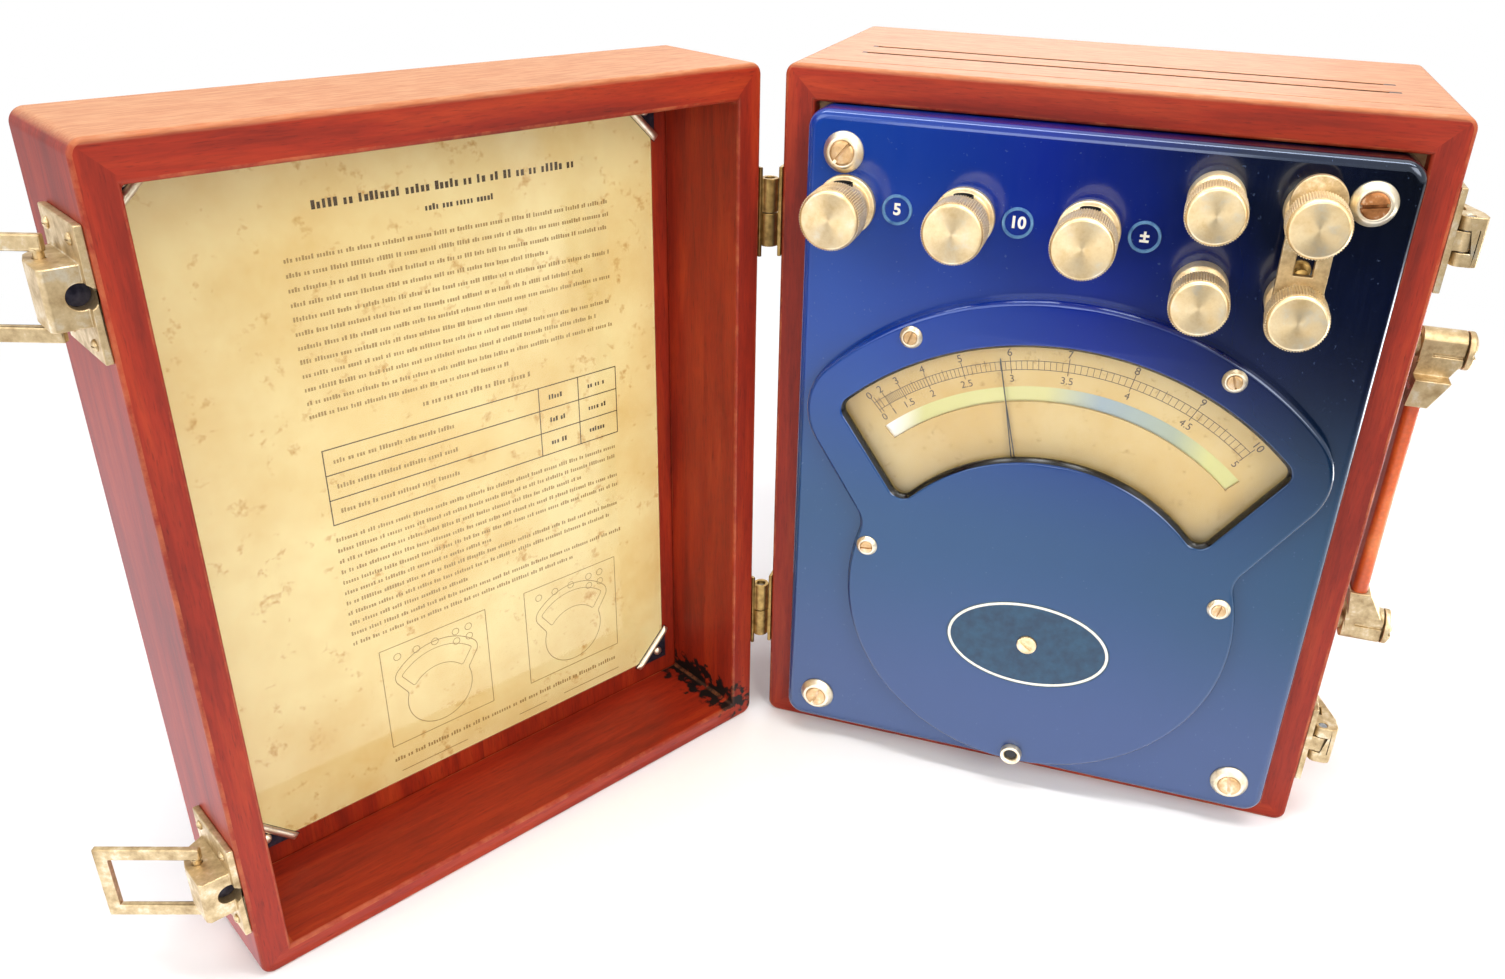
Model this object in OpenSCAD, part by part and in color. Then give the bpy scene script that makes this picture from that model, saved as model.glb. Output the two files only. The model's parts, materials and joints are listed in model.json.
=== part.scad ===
// Portable ammeter in a two-part wooden case, standing open on its lower end.
// X runs along the width, Y into the instrument, Z up. The panel looks towards -Y.
// The origin is the middle of the face that the instrument half stands on.

/* [Case] */
// Width of both halves of the case
case_w = 200; // [196:1:220]
// Height of both halves as they stand
case_h = 253; // [250:1:275]
// Depth of the instrument half
case_d = 103; // [96:1:130]
// Thickness of the two side walls
wall_t = 10; // [8:0.25:10.5]
// Thickness of the top wall of both halves
top_t = 11.3; // [9:0.1:12]
// Thickness of the bottom wall of both halves
floor_t = 7; // [6:0.25:10]
// Radius of the four long outer edges
edge_r = 4; // [2:0.5:6]
// Thickness of the back board
back_t = 6; // [4:0.5:8]
// Width of a glue block in an inner corner
block_w = 20; // [18:1:24]
// Length of the two vents in the top wall
vent_len = 162; // [120:1:164]
// Width of a vent
vent_w = 2.5; // [2:0.25:3.5]

/* [Lid] */
// Depth of the lid half
lid_d = 45; // [43:1:70]
// Thickness of the lid's side walls
lid_wall_t = 9.5; // [7.5:0.25:9.75]
// Thickness of the lid's board
board_t = 7; // [5:0.5:8]
// Angle between the two rims as the case stands open
open_angle = 119; // [90:1:150]
// Gap between the two rims when shut
rim_gap = 0.3; // [0.2:0.1:0.6]
// Gap between the card and the lid's side walls
card_gap_x = 6.5; // [4:0.5:16]
// Gap between the card and the lid's top and bottom walls
card_gap_z = 6.35; // [5:0.05:20]
// Thickness of the card
card_t = 0.5; // [0.4:0.1:1]
// Thickness of the clear film over the card
film_t = 0.3; // [0.2:0.1:0.5]

/* [Panel] */
// Gap between the panel and the case walls
panel_gap = 0.3; // [0.2:0.1:1]
// How far the panel stands proud of the rim
panel_raise = 9; // [6:0.5:11]
// Thickness of the panel's plate
panel_t = 5; // [4:0.5:6]
// Depth of the skirt behind the plate
skirt_d = 10; // [8:0.5:14]
// Thickness of the skirt
skirt_t = 3; // [2:0.5:4]
// Radius of the panel's corners
panel_r = 6.5; // [5:0.5:9]
// Radius of the panel's front edge
panel_edge = 3; // [2:0.5:4]
// Distance of a corner screw from the panel's edges
screw_inset = 12.5; // [11.5:0.25:13.5]

/* [Window cover] */
// Thickness of the cover
cover_t = 5; // [4.5:0.5:6]
// Height of the movement's axis above the base
axis_z = 73; // [72:0.5:76]
// Radius of the cover's round lower part
bowl_r = 67; // [64:0.5:67]
// Outer radius of the window about the movement's axis
window_out = 102; // [99:0.5:103]
// Inner radius of the window about the movement's axis
window_in = 63.3; // [60:0.5:68]
// Thickness of the glass
glass_t = 2; // [1.5:0.25:2.25]
// Depth of the zero corrector's place below the movement's axis
corrector_drop = 9; // [8:0.5:10]

/* [Binding posts] */
// Distance from one binding post to the next
post_pitch = 38; // [34:0.5:40]
// Place of the middle binding post across the panel
post_mid_x = -37.5; // [-40:0.5:-35]
// Height of the binding posts above the base
post_z = 212.5; // [210:0.5:215]
// Diameter of a binding post's knob
post_knob_d = 19.2; // [16:0.2:20]
// Diameter of a link knob
link_knob_d = 17; // [14:0.5:18]
// Side of the square that the four link posts stand on
link_pitch = 26.6; // [25:0.2:28]
// Place of the left pair of link posts
link_x = 35.2; // [32:0.2:37]
// Height of the lower pair of link posts
link_z = 199.4; // [197:0.2:200]
// Diameter of the studs
stud_d = 5; // [4:0.25:5.5]
// Thickness of the link bar
bar_t = 2.5; // [2:0.25:3]
// Radial clearance of a knob or a bar on its stud
stud_fit = 0.05; // [0.03:0.01:0.09]

/* [Side fittings] */
// Distance of each catch from the end of the case
catch_inset = 35; // [30:1:45]
// Distance of each hinge joint from the end of the case
hinge_inset = 48; // [44:1:60]
// Radius of a hinge barrel
barrel_r = 3; // [2.5:0.25:3.5]
// Diameter of the hinge pins
pin_d = 3; // [2.5:0.1:3.5]
// Distance between the handle's two posts
handle_span = 104; // [90:1:115]
// Thickness of the leather strap
strap_t = 5.2; // [4.6:0.2:7]
// Width of the leather strap
strap_w = 20; // [16:1:24]
// How far the handle can be pushed in along its posts
handle_travel = 3.5; // [3.5:0.5:5.5]

/* [Movement] */
// Radius of the coil's bore
bore_r = 11; // [10.5:0.25:12]
// Radius of the coil's winding
coil_r = 23; // [20:0.5:25]
// Length of the coil between its cheeks
coil_len = 22; // [18:1:26]
// Reading of the pointer at rest, in degrees left of the middle
pointer_rest = 13; // [0:1:35]
// Swing of the pointer to each side of the middle
pointer_swing = 41; // [38:1:42]
// Inner radius of the iron shield
shield_r = 33; // [31:0.5:36]

/* [Hidden] */

// A cut goes this far past a face so that it opens it cleanly
cut = 1;
fine = 48;

// Case and panel
front_y = -case_d / 2;
back_y = case_d / 2;
side_x = case_w / 2;
inner_w = case_w - 2 * wall_t;
inner_h = case_h - top_t - floor_t;
inner_z = floor_t + inner_h / 2;
lid_inner_w = case_w - 2 * lid_wall_t;
card_rise = 2.15;
card_w = lid_inner_w - 2 * card_gap_x;
card_h = inner_h - 2 * card_gap_z;
card_z = inner_z + card_rise;
mid_z = case_h / 2;
rabbet = 4;
panel_w = inner_w - 2 * panel_gap;
panel_h = inner_h - 2 * panel_gap;
face_y = front_y - panel_raise;
plate_back_y = face_y + panel_t;
skirt_y = plate_back_y + skirt_d;
screw_x = panel_w / 2 - screw_inset;
screw_z = panel_h / 2 - screw_inset;
panel_screw_r = 2.2;
panel_screw_len = 28;
screw_gap = 0.15;
cup_r = 6.5;
groove_back = 11;
vent_backs = [33, 48.5];
vent_mid = -1;
block_len = 24;

// Window cover
cover_y = face_y - cover_t;
bowl_z = axis_z + 5.2;
ear_r = 22;
ear_turn = 45;
ear_lean = 33.2;
crown_r = 111;
crown_z = axis_z + 6.8;
waist_fillet = 10;
cover_screw_r = 1.6;
cover_screw_len = 9;
small_cup_r = 3.8;
cover_screw_places = [[-50.3, axis_z + 100], [50.3, axis_z + 100],
    [-60.3, axis_z + 19.7], [60.3, axis_z + 19.7]];
seal_z = bowl_z - bowl_r + 4.6;
window_corner = 4;
window_side = [[73, 72], [54, 45]];
bevel = 1.2;
glass_lip = 3;
glass_clear = 0.3;
pocket_r = 33;
pocket_depth = 3;
opening_out = window_out + 4;
opening_half = 49.5;
opening_bowl = 48;

// Movement, along Y from the front
scale_y = face_y + 4;
scale_t = 1;
scale_in = 52;
scale_out = window_out + 2.5;
scale_half = 48.5;
mirror_in = 79.5;
mirror_out = 88.5;
mirror_slot_in = 80.7;
mirror_slot_out = 86.2;
mirror_half = 43;
mirror_t = 1;
base_y = plate_back_y;
base_t = 3;
base_r = 57;
arm_half = 28;
bridge_y = face_y - 0.6;
bridge_t = 1.4;
bridge_reach = 24;
jewel_r = 2;
pillar_r = 2.5;
shaft_r = 0.75;
pivot_r = 0.4;
pivot_fit = 0.06;
pivot_len = 1;
shaft_front = face_y + 1.2;
pointer_y = face_y + 2.6;
pointer_t = 0.4;
pointer_len = 96.5;
flange_t = 2;
bobbin_y = base_y + base_t;
bobbin_wall = 2;
flange_r = coil_r + 1;
coil_back = bobbin_y + 2 * flange_t + coil_len;
vane_t = 1;
box_y = coil_back;
box_len = 12;
box_r = shield_r - 2;
box_half = 56;
box_wall = 1.5;
rear_y = box_y + box_len + 1.4;
rear_reach = 28;
shield_t = 1;
shield_back = rear_y + 6;
corrector_z = axis_z - corrector_drop;
crank_r = 2.5;
crank_z = corrector_z - crank_r;
corrector_fit = 0.05;

// Posts
collar_d = 16.5;
flange_h = 2.5;
barrel_h = 7.5;
post_barrel_d = 16;
wire_hole_d = 5;
collar_h = 8;
run_gap = 0.15;
post_knob_h = 11.8;
link_knob_h = 14.3;
hub_h = 3.8;
hub_d = 13;
stud_in = 7;
stud_back_y = plate_back_y + 11;
stud_r = stud_d / 2;
nut_t = 4;
strap_copper_t = 1;
strap_copper_w = 8;
lead_y = plate_back_y + strap_copper_t + nut_t;
post_places = [[post_mid_x - post_pitch, post_z], [post_mid_x, post_z], [post_mid_x + post_pitch, post_z]];
link_right = link_x + link_pitch;
link_top = link_z + link_pitch;
link_places = [[link_x, link_top], [link_x, link_z], [link_right, link_top], [link_right, link_z]];
bar_half = 6.8;
bar_gap = 0.1;
bar_y = face_y - collar_h - bar_gap;
knurls = 48;
label_dx = 16.5;
label_r = 4.6;

// Hinge between the halves
hinge_x = -side_x - 4.24;
hinge_y = front_y - rim_gap / 2;
leaf_t = 1.24;
leaf_h = 30;
leaf_d = 20;
knuckle_h = 11.2;
knuckle_gap = 0.3;
pin_r = pin_d / 2;
pin_fit = 0.05;
hinge_places = [hinge_inset, case_h - hinge_inset];

// Catches on the right wall
catch_places = [case_h - catch_inset, catch_inset];
plate_t = 2;
plate_half = 15.5;
plate_d = 24;
lever_half = 7.4;
catch_pin_x = side_x + 5.2;
catch_pin_y = front_y + 4.9;
catch_pin_r = 1.4;
knuckle_half = 3;
knuckle_r = 2.5;
tunnel_r = 3.1;

// Lid, in the frame of the shut case
lid_rim_y = front_y - rim_gap;
lid_front_y = lid_rim_y - lid_d;
lid_inner_y = lid_front_y + board_t;
loop_x = side_x + 7.2;
loop_y = lid_rim_y - 13.5;
loop_len = 29;
loop_half = 12.9;
loop_window = 9;
loop_t = 2;
loop_bar = 3.8;
loop_pin_r = 1.3;
loop_pin_fit = 0.05;
loop_rest = 42;
bracket_half = 16.4;
bracket_d = 26;
clip_in = 3;
clip_pin_r = 0.9;

// Handle
handle_y = front_y + 26;
handle_places = [mid_z + handle_span / 2, mid_z - handle_span / 2];
post_shank_r = 3.5;
post_flange_t = 1.5;
post_flange_r = 8.5;
ferrule_r = 6.2;
ferrule_x = side_x + post_flange_t + handle_travel + 0.5;
ferrule_len = 13;
ferrule_fit = 0.06;
ferrule_wall = 1;
head_gap = 0.4;
head_t = 3;
strap_x = side_x + handle_travel + 1;
strap_end = 11;
strap_grip = 6;

// Points along an arc about [cx, cz], from angle a0 to a1, measured from straight up towards +X
function arc(cx, cz, r, a0, a1, n) = [for (i = [0:n]) let (a = a0 + (a1 - a0) * i / n)
    [cx + r * sin(a), cz + r * cos(a)]];

// Draws its children with their +Z towards the viewer, starting at depth y
module facing(x, z, y) {
    translate([x, y, z]) rotate([90, 0, 0]) children();
}

// Round rod or bore of radius r and length h, from depth y towards the viewer
module rod(x, z, y, r, h) {
    facing(x, z, y) cylinder(r = r, h = h, $fn = fine);
}

// Slab of a drawn outline in the X-Z plane, from depth y0 back to y1
module slab(y0, y1) {
    translate([0, y1, 0]) rotate([90, 0, 0]) linear_extrude(y1 - y0) children();
}

// Rectangle with true round corners, centred at mid height
module round_rect(w, h, r) {
    square([w - 2 * r, h], center = true);
    square([w, h - 2 * r], center = true);
    for (sx = [-1, 1]) for (sz = [-1, 1])
        translate([sx * (w / 2 - r), sz * (h / 2 - r)]) circle(r, $fn = fine);
}

module at_mid() {
    translate([0, mid_z]) children();
}

// Opening between the walls, w wide and grown by grow on each side, at its own mid height
module opening(w, grow = 0) {
    translate([0, inner_z]) square([w + 2 * grow, inner_h + 2 * grow], center = true);
}

// Flat ring sector about the movement's axis, up to half degrees each side of direction mid
module sector(r0, r1, half, mid = 0) {
    polygon(concat(arc(0, axis_z, r1, mid - half, mid + half, 36),
        arc(0, axis_z, r0, mid + half, mid - half, 24)));
}

// Box given by its two opposite corners
module block(a, b) {
    translate(a) cube(b - a);
}

// The lid's parts are drawn on the shut case and swung open here
module lid_pose() {
    translate([hinge_x, hinge_y, 0]) rotate([0, 0, -open_angle]) translate([-hinge_x, -hinge_y, 0]) children();
}

// Revolved part on an axis that points at the viewer
module turned(x, z, y, profile) {
    facing(x, z, y) rotate_extrude($fn = fine) polygon(profile);
}

// Wooden case, instrument half
module case_walls() {
    color("#8a3b22") difference() {
        slab(front_y, back_y) at_mid() round_rect(case_w, case_h, edge_r);
        slab(front_y - cut, back_y + cut) opening(inner_w);
        slab(back_y - back_t, back_y + cut) opening(inner_w, rabbet);
        for (d = vent_backs) translate([vent_mid, front_y + d, case_h - top_t / 2])
            cube([vent_len, vent_w, top_t + 2 * cut], center = true);
        difference() {
            slab(front_y + groove_back, front_y + groove_back + 0.8) at_mid()
                square([case_w + 2, case_h + 2], center = true);
            slab(front_y, back_y) at_mid() round_rect(case_w - 1.2, case_h - 1.2, edge_r - 0.6);
        }
    }
}

module case_back() {
    color("#7a3520") slab(back_y - back_t, back_y) opening(inner_w, rabbet);
}

module corner_blocks() {
    color("#9a5a38") difference() {
        for (sx = [-1, 1]) for (sz = [-1, 1]) translate([0, 0, inner_z]) slab(skirt_y, skirt_y + block_len)
            translate([sx * (inner_w - block_w) / 2, sz * (inner_h - block_w) / 2])
                square(block_w, center = true);
        at_screws() rod(0, 0, skirt_y + panel_screw_len, panel_screw_r + screw_gap, panel_screw_len + cut);
    }
}

module at_screws() {
    for (sx = [-1, 1]) for (sz = [-1, 1]) translate([sx * screw_x, 0, inner_z + sz * screw_z]) children();
}

module panel_outline(inset = 0) {
    translate([0, inner_z]) round_rect(panel_w - 2 * inset, panel_h - 2 * inset, panel_r - inset);
}

// Opening in the panel for the scale and the movement
module panel_opening() {
    sector(30, opening_out, opening_half);
    translate([0, axis_z]) circle(opening_bowl, $fn = 96);
}

// Moulded panel: plate with a rounded front edge, a skirt and four bosses behind
module panel() {
    edge_round = [for (a = [0:18:90])
        [panel_r - panel_edge * (1 - cos(a)), panel_t - panel_edge * (1 - sin(a))]];
    color("#10182c") difference() {
        union() {
            translate([0, 0, inner_z]) hull() for (sx = [-1, 1]) for (sz = [-1, 1])
                facing(sx * (panel_w / 2 - panel_r), sz * (panel_h / 2 - panel_r), plate_back_y)
                    rotate_extrude($fn = 32)
                        polygon(concat([[0, 0], [panel_r, 0]], edge_round, [[0, panel_t]]));
            slab(plate_back_y, skirt_y) difference() {
                panel_outline();
                panel_outline(skirt_t);
            }
            at_screws() rod(0, 0, skirt_y, 6.5, skirt_d);
        }
        slab(face_y - cut, plate_back_y + cut) panel_opening();
        at_screws() rod(0, 0, skirt_y + cut, panel_screw_r + screw_gap, skirt_d + panel_t + 2 * cut);
        for (p = concat(post_places, link_places))
            rod(p[0], p[1], plate_back_y + cut, stud_r, panel_t + 2 * cut);
        for (p = cover_screw_places) rod(p[0], p[1], plate_back_y + cut, cover_screw_r, panel_t + 2 * cut);
        // Ring recess round each range label
        for (p = post_places) facing(p[0] + label_dx, p[1], face_y + 0.5) difference() {
            cylinder(r = label_r, h = cut + 0.5, $fn = fine);
            translate([0, 0, -cut]) cylinder(r = label_r - 0.8, h = 3 * cut, $fn = fine);
        }
    }
}

// Countersunk cup washer, standing on depth y
module cup_washer(x, z, y, r, hole) {
    turned(x, z, y, [[hole, 0], [r, 0], [r, r * 0.13],
        [r * 0.72, r * 0.42], [r * 0.6, r * 0.42], [hole, r * 0.16]]);
}

// Slotted raised-head screw seated in a cup washer of radius r
module cup_screw(x, z, y, r, shank, len, turn) {
    difference() {
        turned(x, z, y, [[0, -len], [shank, -len], [shank, r * 0.18], [r * 0.57, r * 0.43],
            [r * 0.57, r * 0.47], [r * 0.4, r * 0.55], [0, r * 0.6]]);
        facing(x, z, y + 0.2) rotate([0, 0, turn]) translate([-r, -r * 0.05, r * 0.42])
            cube([2 * r, r * 0.1, r]);
    }
}

module panel_cup_washers() {
    color("#cfc6b2") at_screws() cup_washer(0, 0, face_y, cup_r, panel_screw_r + screw_gap);
}

module panel_screws() {
    turns = [52, 70, 8, 100];
    color("#c9bfa8") for (i = [0:3])
        translate([(i < 2 ? -1 : 1) * screw_x, 0, inner_z + (i % 2 == 0 ? 1 : -1) * screw_z])
            cup_screw(0, 0, face_y, cup_r, panel_screw_r, panel_screw_len, turns[i]);
}

// Where a line offset from p along d meets a circle of radius r about the origin
function reach(p, d, r) = -p * d + sqrt((p * d) * (p * d) - p * p + r * r);

// Right half of the cover's outline: crown, ear, straight side, waist and bowl, from the top down
function cover_half(inset) = let (
    w = waist_fillet,
    n = [cos(ear_lean), -sin(ear_lean)],
    d = [sin(ear_lean), cos(ear_lean)],
    ear = [(crown_r - ear_r) * sin(ear_turn), crown_z + (crown_r - ear_r) * cos(ear_turn)],
    q = ear + (ear_r + w) * n - [0, bowl_z],
    f = q - (q * d - sqrt((q * d) * (q * d) - q * q + (bowl_r + w) * (bowl_r + w))) * d,
    low = atan2(f[0], f[1]))
    concat(arc(0, crown_z, crown_r - inset, 0, ear_turn, 20),
        arc(ear[0], ear[1], ear_r - inset, ear_turn + 6, 90 + ear_lean, 12),
        arc(f[0], f[1] + bowl_z, w + inset, ear_lean - 90, low - 180, 6),
        arc(0, bowl_z, bowl_r - inset, low + 2, 180, 34));

// Right half of the window, widened by grow
function window_half(grow) = let (
    c = window_corner,
    side = window_side[0] - window_side[1],
    lean = atan2(side[0], side[1]),
    n = [cos(lean), -sin(lean)],
    d = [sin(lean), cos(lean)],
    p = window_side[0] - c * n,
    top = p + reach(p, d, window_out - c) * d,
    foot = p + reach(p, d, window_in + c) * d,
    a = atan2(top[0], top[1]),
    b = atan2(foot[0], foot[1]))
    concat(arc(0, axis_z, window_out + grow, 0, a, 18),
        arc(top[0], top[1] + axis_z, c + grow, a + 20, 90 + lean, 5),
        arc(foot[0], foot[1] + axis_z, c + grow, 90 + lean, b + 180, 6),
        arc(0, axis_z, window_in - grow, b - 2, 0, 18));

// Closes a half outline with its mirror image
module mirrored(half) {
    polygon(concat(half, [for (i = [len(half) - 2:-1:1]) [-half[i][0], half[i][1]]]));
}

module cover_outline(inset = 0) {
    mirrored(cover_half(inset));
}

module window_shape(grow = 0) {
    mirrored(window_half(grow));
}

// Moulded cover over the window and the movement
module window_cover() {
    color("#141d33") difference() {
        union() {
            slab(cover_y + 1, face_y) cover_outline();
            slab(cover_y, cover_y + 1) cover_outline(0.8);
        }
        slab(cover_y - cut, face_y + cut) window_shape();
        slab(cover_y - cut, cover_y + bevel) window_shape(bevel);
        slab(face_y - glass_t - 0.2, face_y + cut) window_shape(glass_lip);
        facing(0, axis_z, face_y + cut) cylinder(r = pocket_r, h = pocket_depth + cut, $fn = 72);
        for (p = cover_screw_places) rod(p[0], p[1], face_y + cut, cover_screw_r, cover_t + 2 * cut);
        rod(0, corrector_z, face_y + cut, 2 + corrector_fit, cover_t + 2 * cut);
        rod(0, corrector_z, cover_y + 1, 3.6, cut + 1);
    }
}

module window_glass() {
    color("#dfe8e4", 0.35) slab(face_y - glass_t, face_y) window_shape(glass_lip - glass_clear);
}

module cover_cup_washers() {
    color("#cfc6b2") for (p = cover_screw_places)
        cup_washer(p[0], p[1], cover_y, small_cup_r, cover_screw_r);
}

module cover_screws() {
    turns = [70, 110, 5, 75];
    color("#c9bfa8") for (i = [0:3]) cup_screw(cover_screw_places[i][0], cover_screw_places[i][1], cover_y,
        small_cup_r, cover_screw_r, cover_screw_len, turns[i]);
}

module seal_cup() {
    color("#cfc6b2") turned(0, seal_z, cover_y,
        [[0, 0], [3.6, 0], [4, 0.8], [3.8, 3], [3, 3], [2.4, 2.4], [2.2, 0.8], [0, 0.8]]);
}

// Scale plate with the slot that the mirror shows through
module scale_plate() {
    color("#d8b67c") slab(scale_y, scale_y + scale_t) difference() {
        sector(scale_in, scale_out, scale_half);
        sector(mirror_slot_in, mirror_slot_out, mirror_half);
    }
}

module mirror_strip() {
    color("#e9e8c8") slab(scale_y + scale_t, scale_y + scale_t + mirror_t)
        sector(mirror_in, mirror_out, mirror_half + 1.5);
}

// Binding posts: flange, barrel with its wire hole, and the stud through the panel
module binding_posts() {
    flange_r = post_knob_d / 2;
    barrel_r = post_barrel_d / 2;
    top = flange_h + barrel_h;
    color("#d3c9b2") for (p = post_places) difference() {
        union() {
            turned(p[0], p[1], face_y, [[0, 0], [flange_r, 0], [flange_r, flange_h - 0.6],
                [flange_r - 0.6, flange_h], [barrel_r, flange_h], [barrel_r, top], [0, top]]);
            rod(p[0], p[1], stud_back_y, stud_r, stud_back_y - face_y + top + stud_in);
        }
        translate([p[0], face_y - flange_h - barrel_h / 2, p[1] - post_barrel_d])
            cylinder(d = wire_hole_d, h = 2 * post_barrel_d, $fn = fine);
    }
}

// Link posts: a plain collar on a stud; the pair on the right is longer for the bar
module link_posts() {
    color("#d3c9b2") for (i = [0:3]) {
        p = link_places[i];
        turned(p[0], p[1], face_y, [[0, 0], [collar_d / 2, 0], [collar_d / 2, collar_h - 1],
            [collar_d / 2 - 1, collar_h], [0, collar_h]]);
        rod(p[0], p[1], stud_back_y, stud_r,
            stud_back_y - face_y + collar_h + stud_in + (i > 1 ? bar_t : 0));
    }
}

// A nut on each stud, and a second one over each coil lead
module stud_nuts() {
    color("#b8a46c") {
        for (p = concat(post_places, link_places)) stud_nut(p, lead_y);
        for (p = [link_places[1], link_places[3]]) stud_nut(p, lead_y + strap_copper_t + nut_t);
    }
}

module stud_nut(p, y) {
    facing(p[0], p[1], y) difference() {
        cylinder(d = stud_d + 5, h = nut_t, $fn = 6);
        translate([0, 0, -cut]) cylinder(r = stud_r, h = nut_t + 2 * cut, $fn = fine);
    }
}

// One straight run of copper strap in the X-Z plane
module strap_run(a, b) {
    d = b - a;
    translate(a) rotate(atan2(d[1], d[0])) translate([0, -strap_copper_w / 2])
        square([norm(d), strap_copper_w]);
    translate(a) circle(d = strap_copper_w + 2, $fn = fine);
    translate(b) circle(d = strap_copper_w + 2, $fn = fine);
}

// Copper straps from the studs to each other and down to the coil
module bus_straps() {
    low = post_places[0];
    high = post_places[1];
    common = post_places[2];
    strap_y = plate_back_y;
    lead_top = axis_z + shield_r + 8;
    turn = [low[0] + 7.5, low[1] + 9.5];
    color("#b8693c") difference() {
        union() {
            slab(strap_y, strap_y + strap_copper_t) {
                strap_run(low, turn);
                strap_run(turn, link_places[0]);
            }
            slab(strap_y, strap_y + strap_copper_t) {
                strap_run(high, [high[0], link_z]);
                strap_run([high[0], link_z], link_places[1]);
            }
            slab(strap_y, strap_y + strap_copper_t) {
                strap_run(common, [link_right, post_z]);
                strap_run([link_right, post_z], link_places[2]);
            }
            for (lead = [[link_places[1], -8], [link_places[3], 8]]) slab(lead_y, lead_y + strap_copper_t) {
                strap_run(lead[0], [lead[1], lead_top]);
                translate([lead[1] - 3, axis_z + coil_r + 0.1]) square([6, lead_top - axis_z - coil_r]);
            }
        }
        for (p = concat(post_places, link_places)) rod(p[0], p[1], stud_back_y + cut, stud_r, 30);
    }
}

// Moulded base of the movement: disc, two arms with pads for the scale, pillars for the bridges
module movement_base() {
    color("#3a3a3e") {
        difference() {
            union() {
                facing(0, axis_z, base_y + base_t) cylinder(r = base_r, h = base_t, $fn = 96);
                for (s = [-1, 1]) {
                    base_arm(s, mirror_t, base_r - 5, mirror_out + 6.5);
                    base_arm(s, 0, mirror_out + 1.5, scale_out - 5);
                    rod(s * bridge_reach, axis_z, base_y + cut, pillar_r, base_y + cut - bridge_y - bridge_t);
                    rod(s * rear_reach, axis_z, rear_y, pillar_r, rear_y - base_y - 1);
                }
            }
            rod(0, axis_z, base_y + base_t + cut, 5, base_t + 2 * cut);
        }
    }
}

// Arm of the base, from depth step below its front face back, between radii r0 and r1
module base_arm(s, step, r0, r1) {
    slab(base_y + step, base_y + base_t) translate([0, axis_z]) rotate(s * arm_half)
        translate([-5, r0]) square([10, r1 - r0]);
}

module coil_bobbin() {
    tube_r = bore_r + bobbin_wall;
    cheek = flange_t + coil_len;
    color("#5b2f1c") turned(0, axis_z, coil_back, [[bore_r, 0], [flange_r, 0], [flange_r, flange_t],
        [tube_r, flange_t], [tube_r, cheek], [flange_r, cheek], [flange_r, cheek + flange_t],
        [bore_r, cheek + flange_t]]);
}

module coil_winding() {
    inner_r = bore_r + bobbin_wall;
    color("#a8562c") turned(0, axis_z, coil_back - flange_t,
        [[inner_r, 0], [coil_r, 0], [coil_r, coil_len], [inner_r, coil_len]]);
}

module fixed_vane() {
    color("#6a6a70") slab(bobbin_y + flange_t, coil_back - flange_t) sector(bore_r - vane_t, bore_r, 70, 180);
}

// Front and rear bridges that hold the jewel screws
module movement_bridges() {
    color("#b89a58") {
        bridge(bridge_y, bridge_reach);
        bridge(rear_y, rear_reach);
    }
}

module bridge(y, reach) {
    difference() {
        slab(y, y + bridge_t) translate([0, axis_z]) {
            square([2 * reach, 5], center = true);
            for (s = [-1, 1]) translate([s * reach, 0]) circle(3.4, $fn = fine);
            circle(4.5, $fn = fine);
        }
        rod(0, axis_z, y + bridge_t + cut, jewel_r, bridge_t + 2 * cut);
    }
}

module jewel_screws() {
    color("#c8b060") {
        difference() {
            rod(0, axis_z, shaft_front - 0.2, jewel_r, 3.6);
            facing(0, axis_z, shaft_front + cut)
                cylinder(r = pivot_r + pivot_fit, h = pivot_len + cut + 0.2, $fn = 32);
            facing(0, axis_z, shaft_front - 3.2) translate([-3, -0.3, 0]) cube([6, 0.6, cut]);
        }
        difference() {
            rod(0, axis_z, rear_y + 3, jewel_r, 3.8);
            facing(0, axis_z, rear_y + 0.6) cylinder(r = pivot_r + pivot_fit, h = 3, $fn = 32);
        }
    }
}

// Air-damping chamber below the axis: a sector-shaped trough shut by a separate front sheet
module damping_box() {
    color("#8c8f94") difference() {
        slab(box_y + 1, box_y + box_len) sector(4, box_r, box_half, 180);
        slab(box_y, box_y + box_len - box_wall) sector(3, box_r - box_wall, box_half - 3, 180);
    }
}

module damping_cover() {
    color("#9a9da2") slab(box_y, box_y + 1) sector(4, box_r, box_half, 180);
}

// Iron can round the coil and the damping chamber, with a slot for the coil's leads
module magnetic_shield() {
    color("#53565c") difference() {
        turned(0, axis_z, shield_back, [[0, 0], [shield_r + shield_t, 0],
            [shield_r + shield_t, shield_back - bobbin_y], [shield_r, shield_back - bobbin_y],
            [shield_r, shield_t], [0, shield_t]]);
        block([-14, bobbin_y - cut, axis_z + shield_r - 8], [14, lead_y + 3, axis_z + shield_r + 4]);
    }
}

// Slotted zero corrector with its crank pin behind the cover
module zero_corrector() {
    color("#d8cdb4") {
        difference() {
            union() {
                turned(0, corrector_z, cover_y + 1,
                    [[0, 0], [3.3, 0], [3.5, 0.4], [3.5, 1.6], [2.6, 2.2], [0, 2.4]]);
                rod(0, corrector_z, face_y - pocket_depth + 0.6, 2, cover_t - pocket_depth + 0.6);
                rod(0, corrector_z, face_y - pocket_depth + 0.9, 3.4, 0.6);
            }
            facing(0, corrector_z, cover_y - 0.6) rotate([0, 0, -35]) translate([-4, -0.45, 0])
                cube([8, 0.9, 2]);
        }
        facing(0, crank_z, face_y - 0.3) cylinder(r = 0.6, h = 2, $fn = 32);
    }
}

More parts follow.
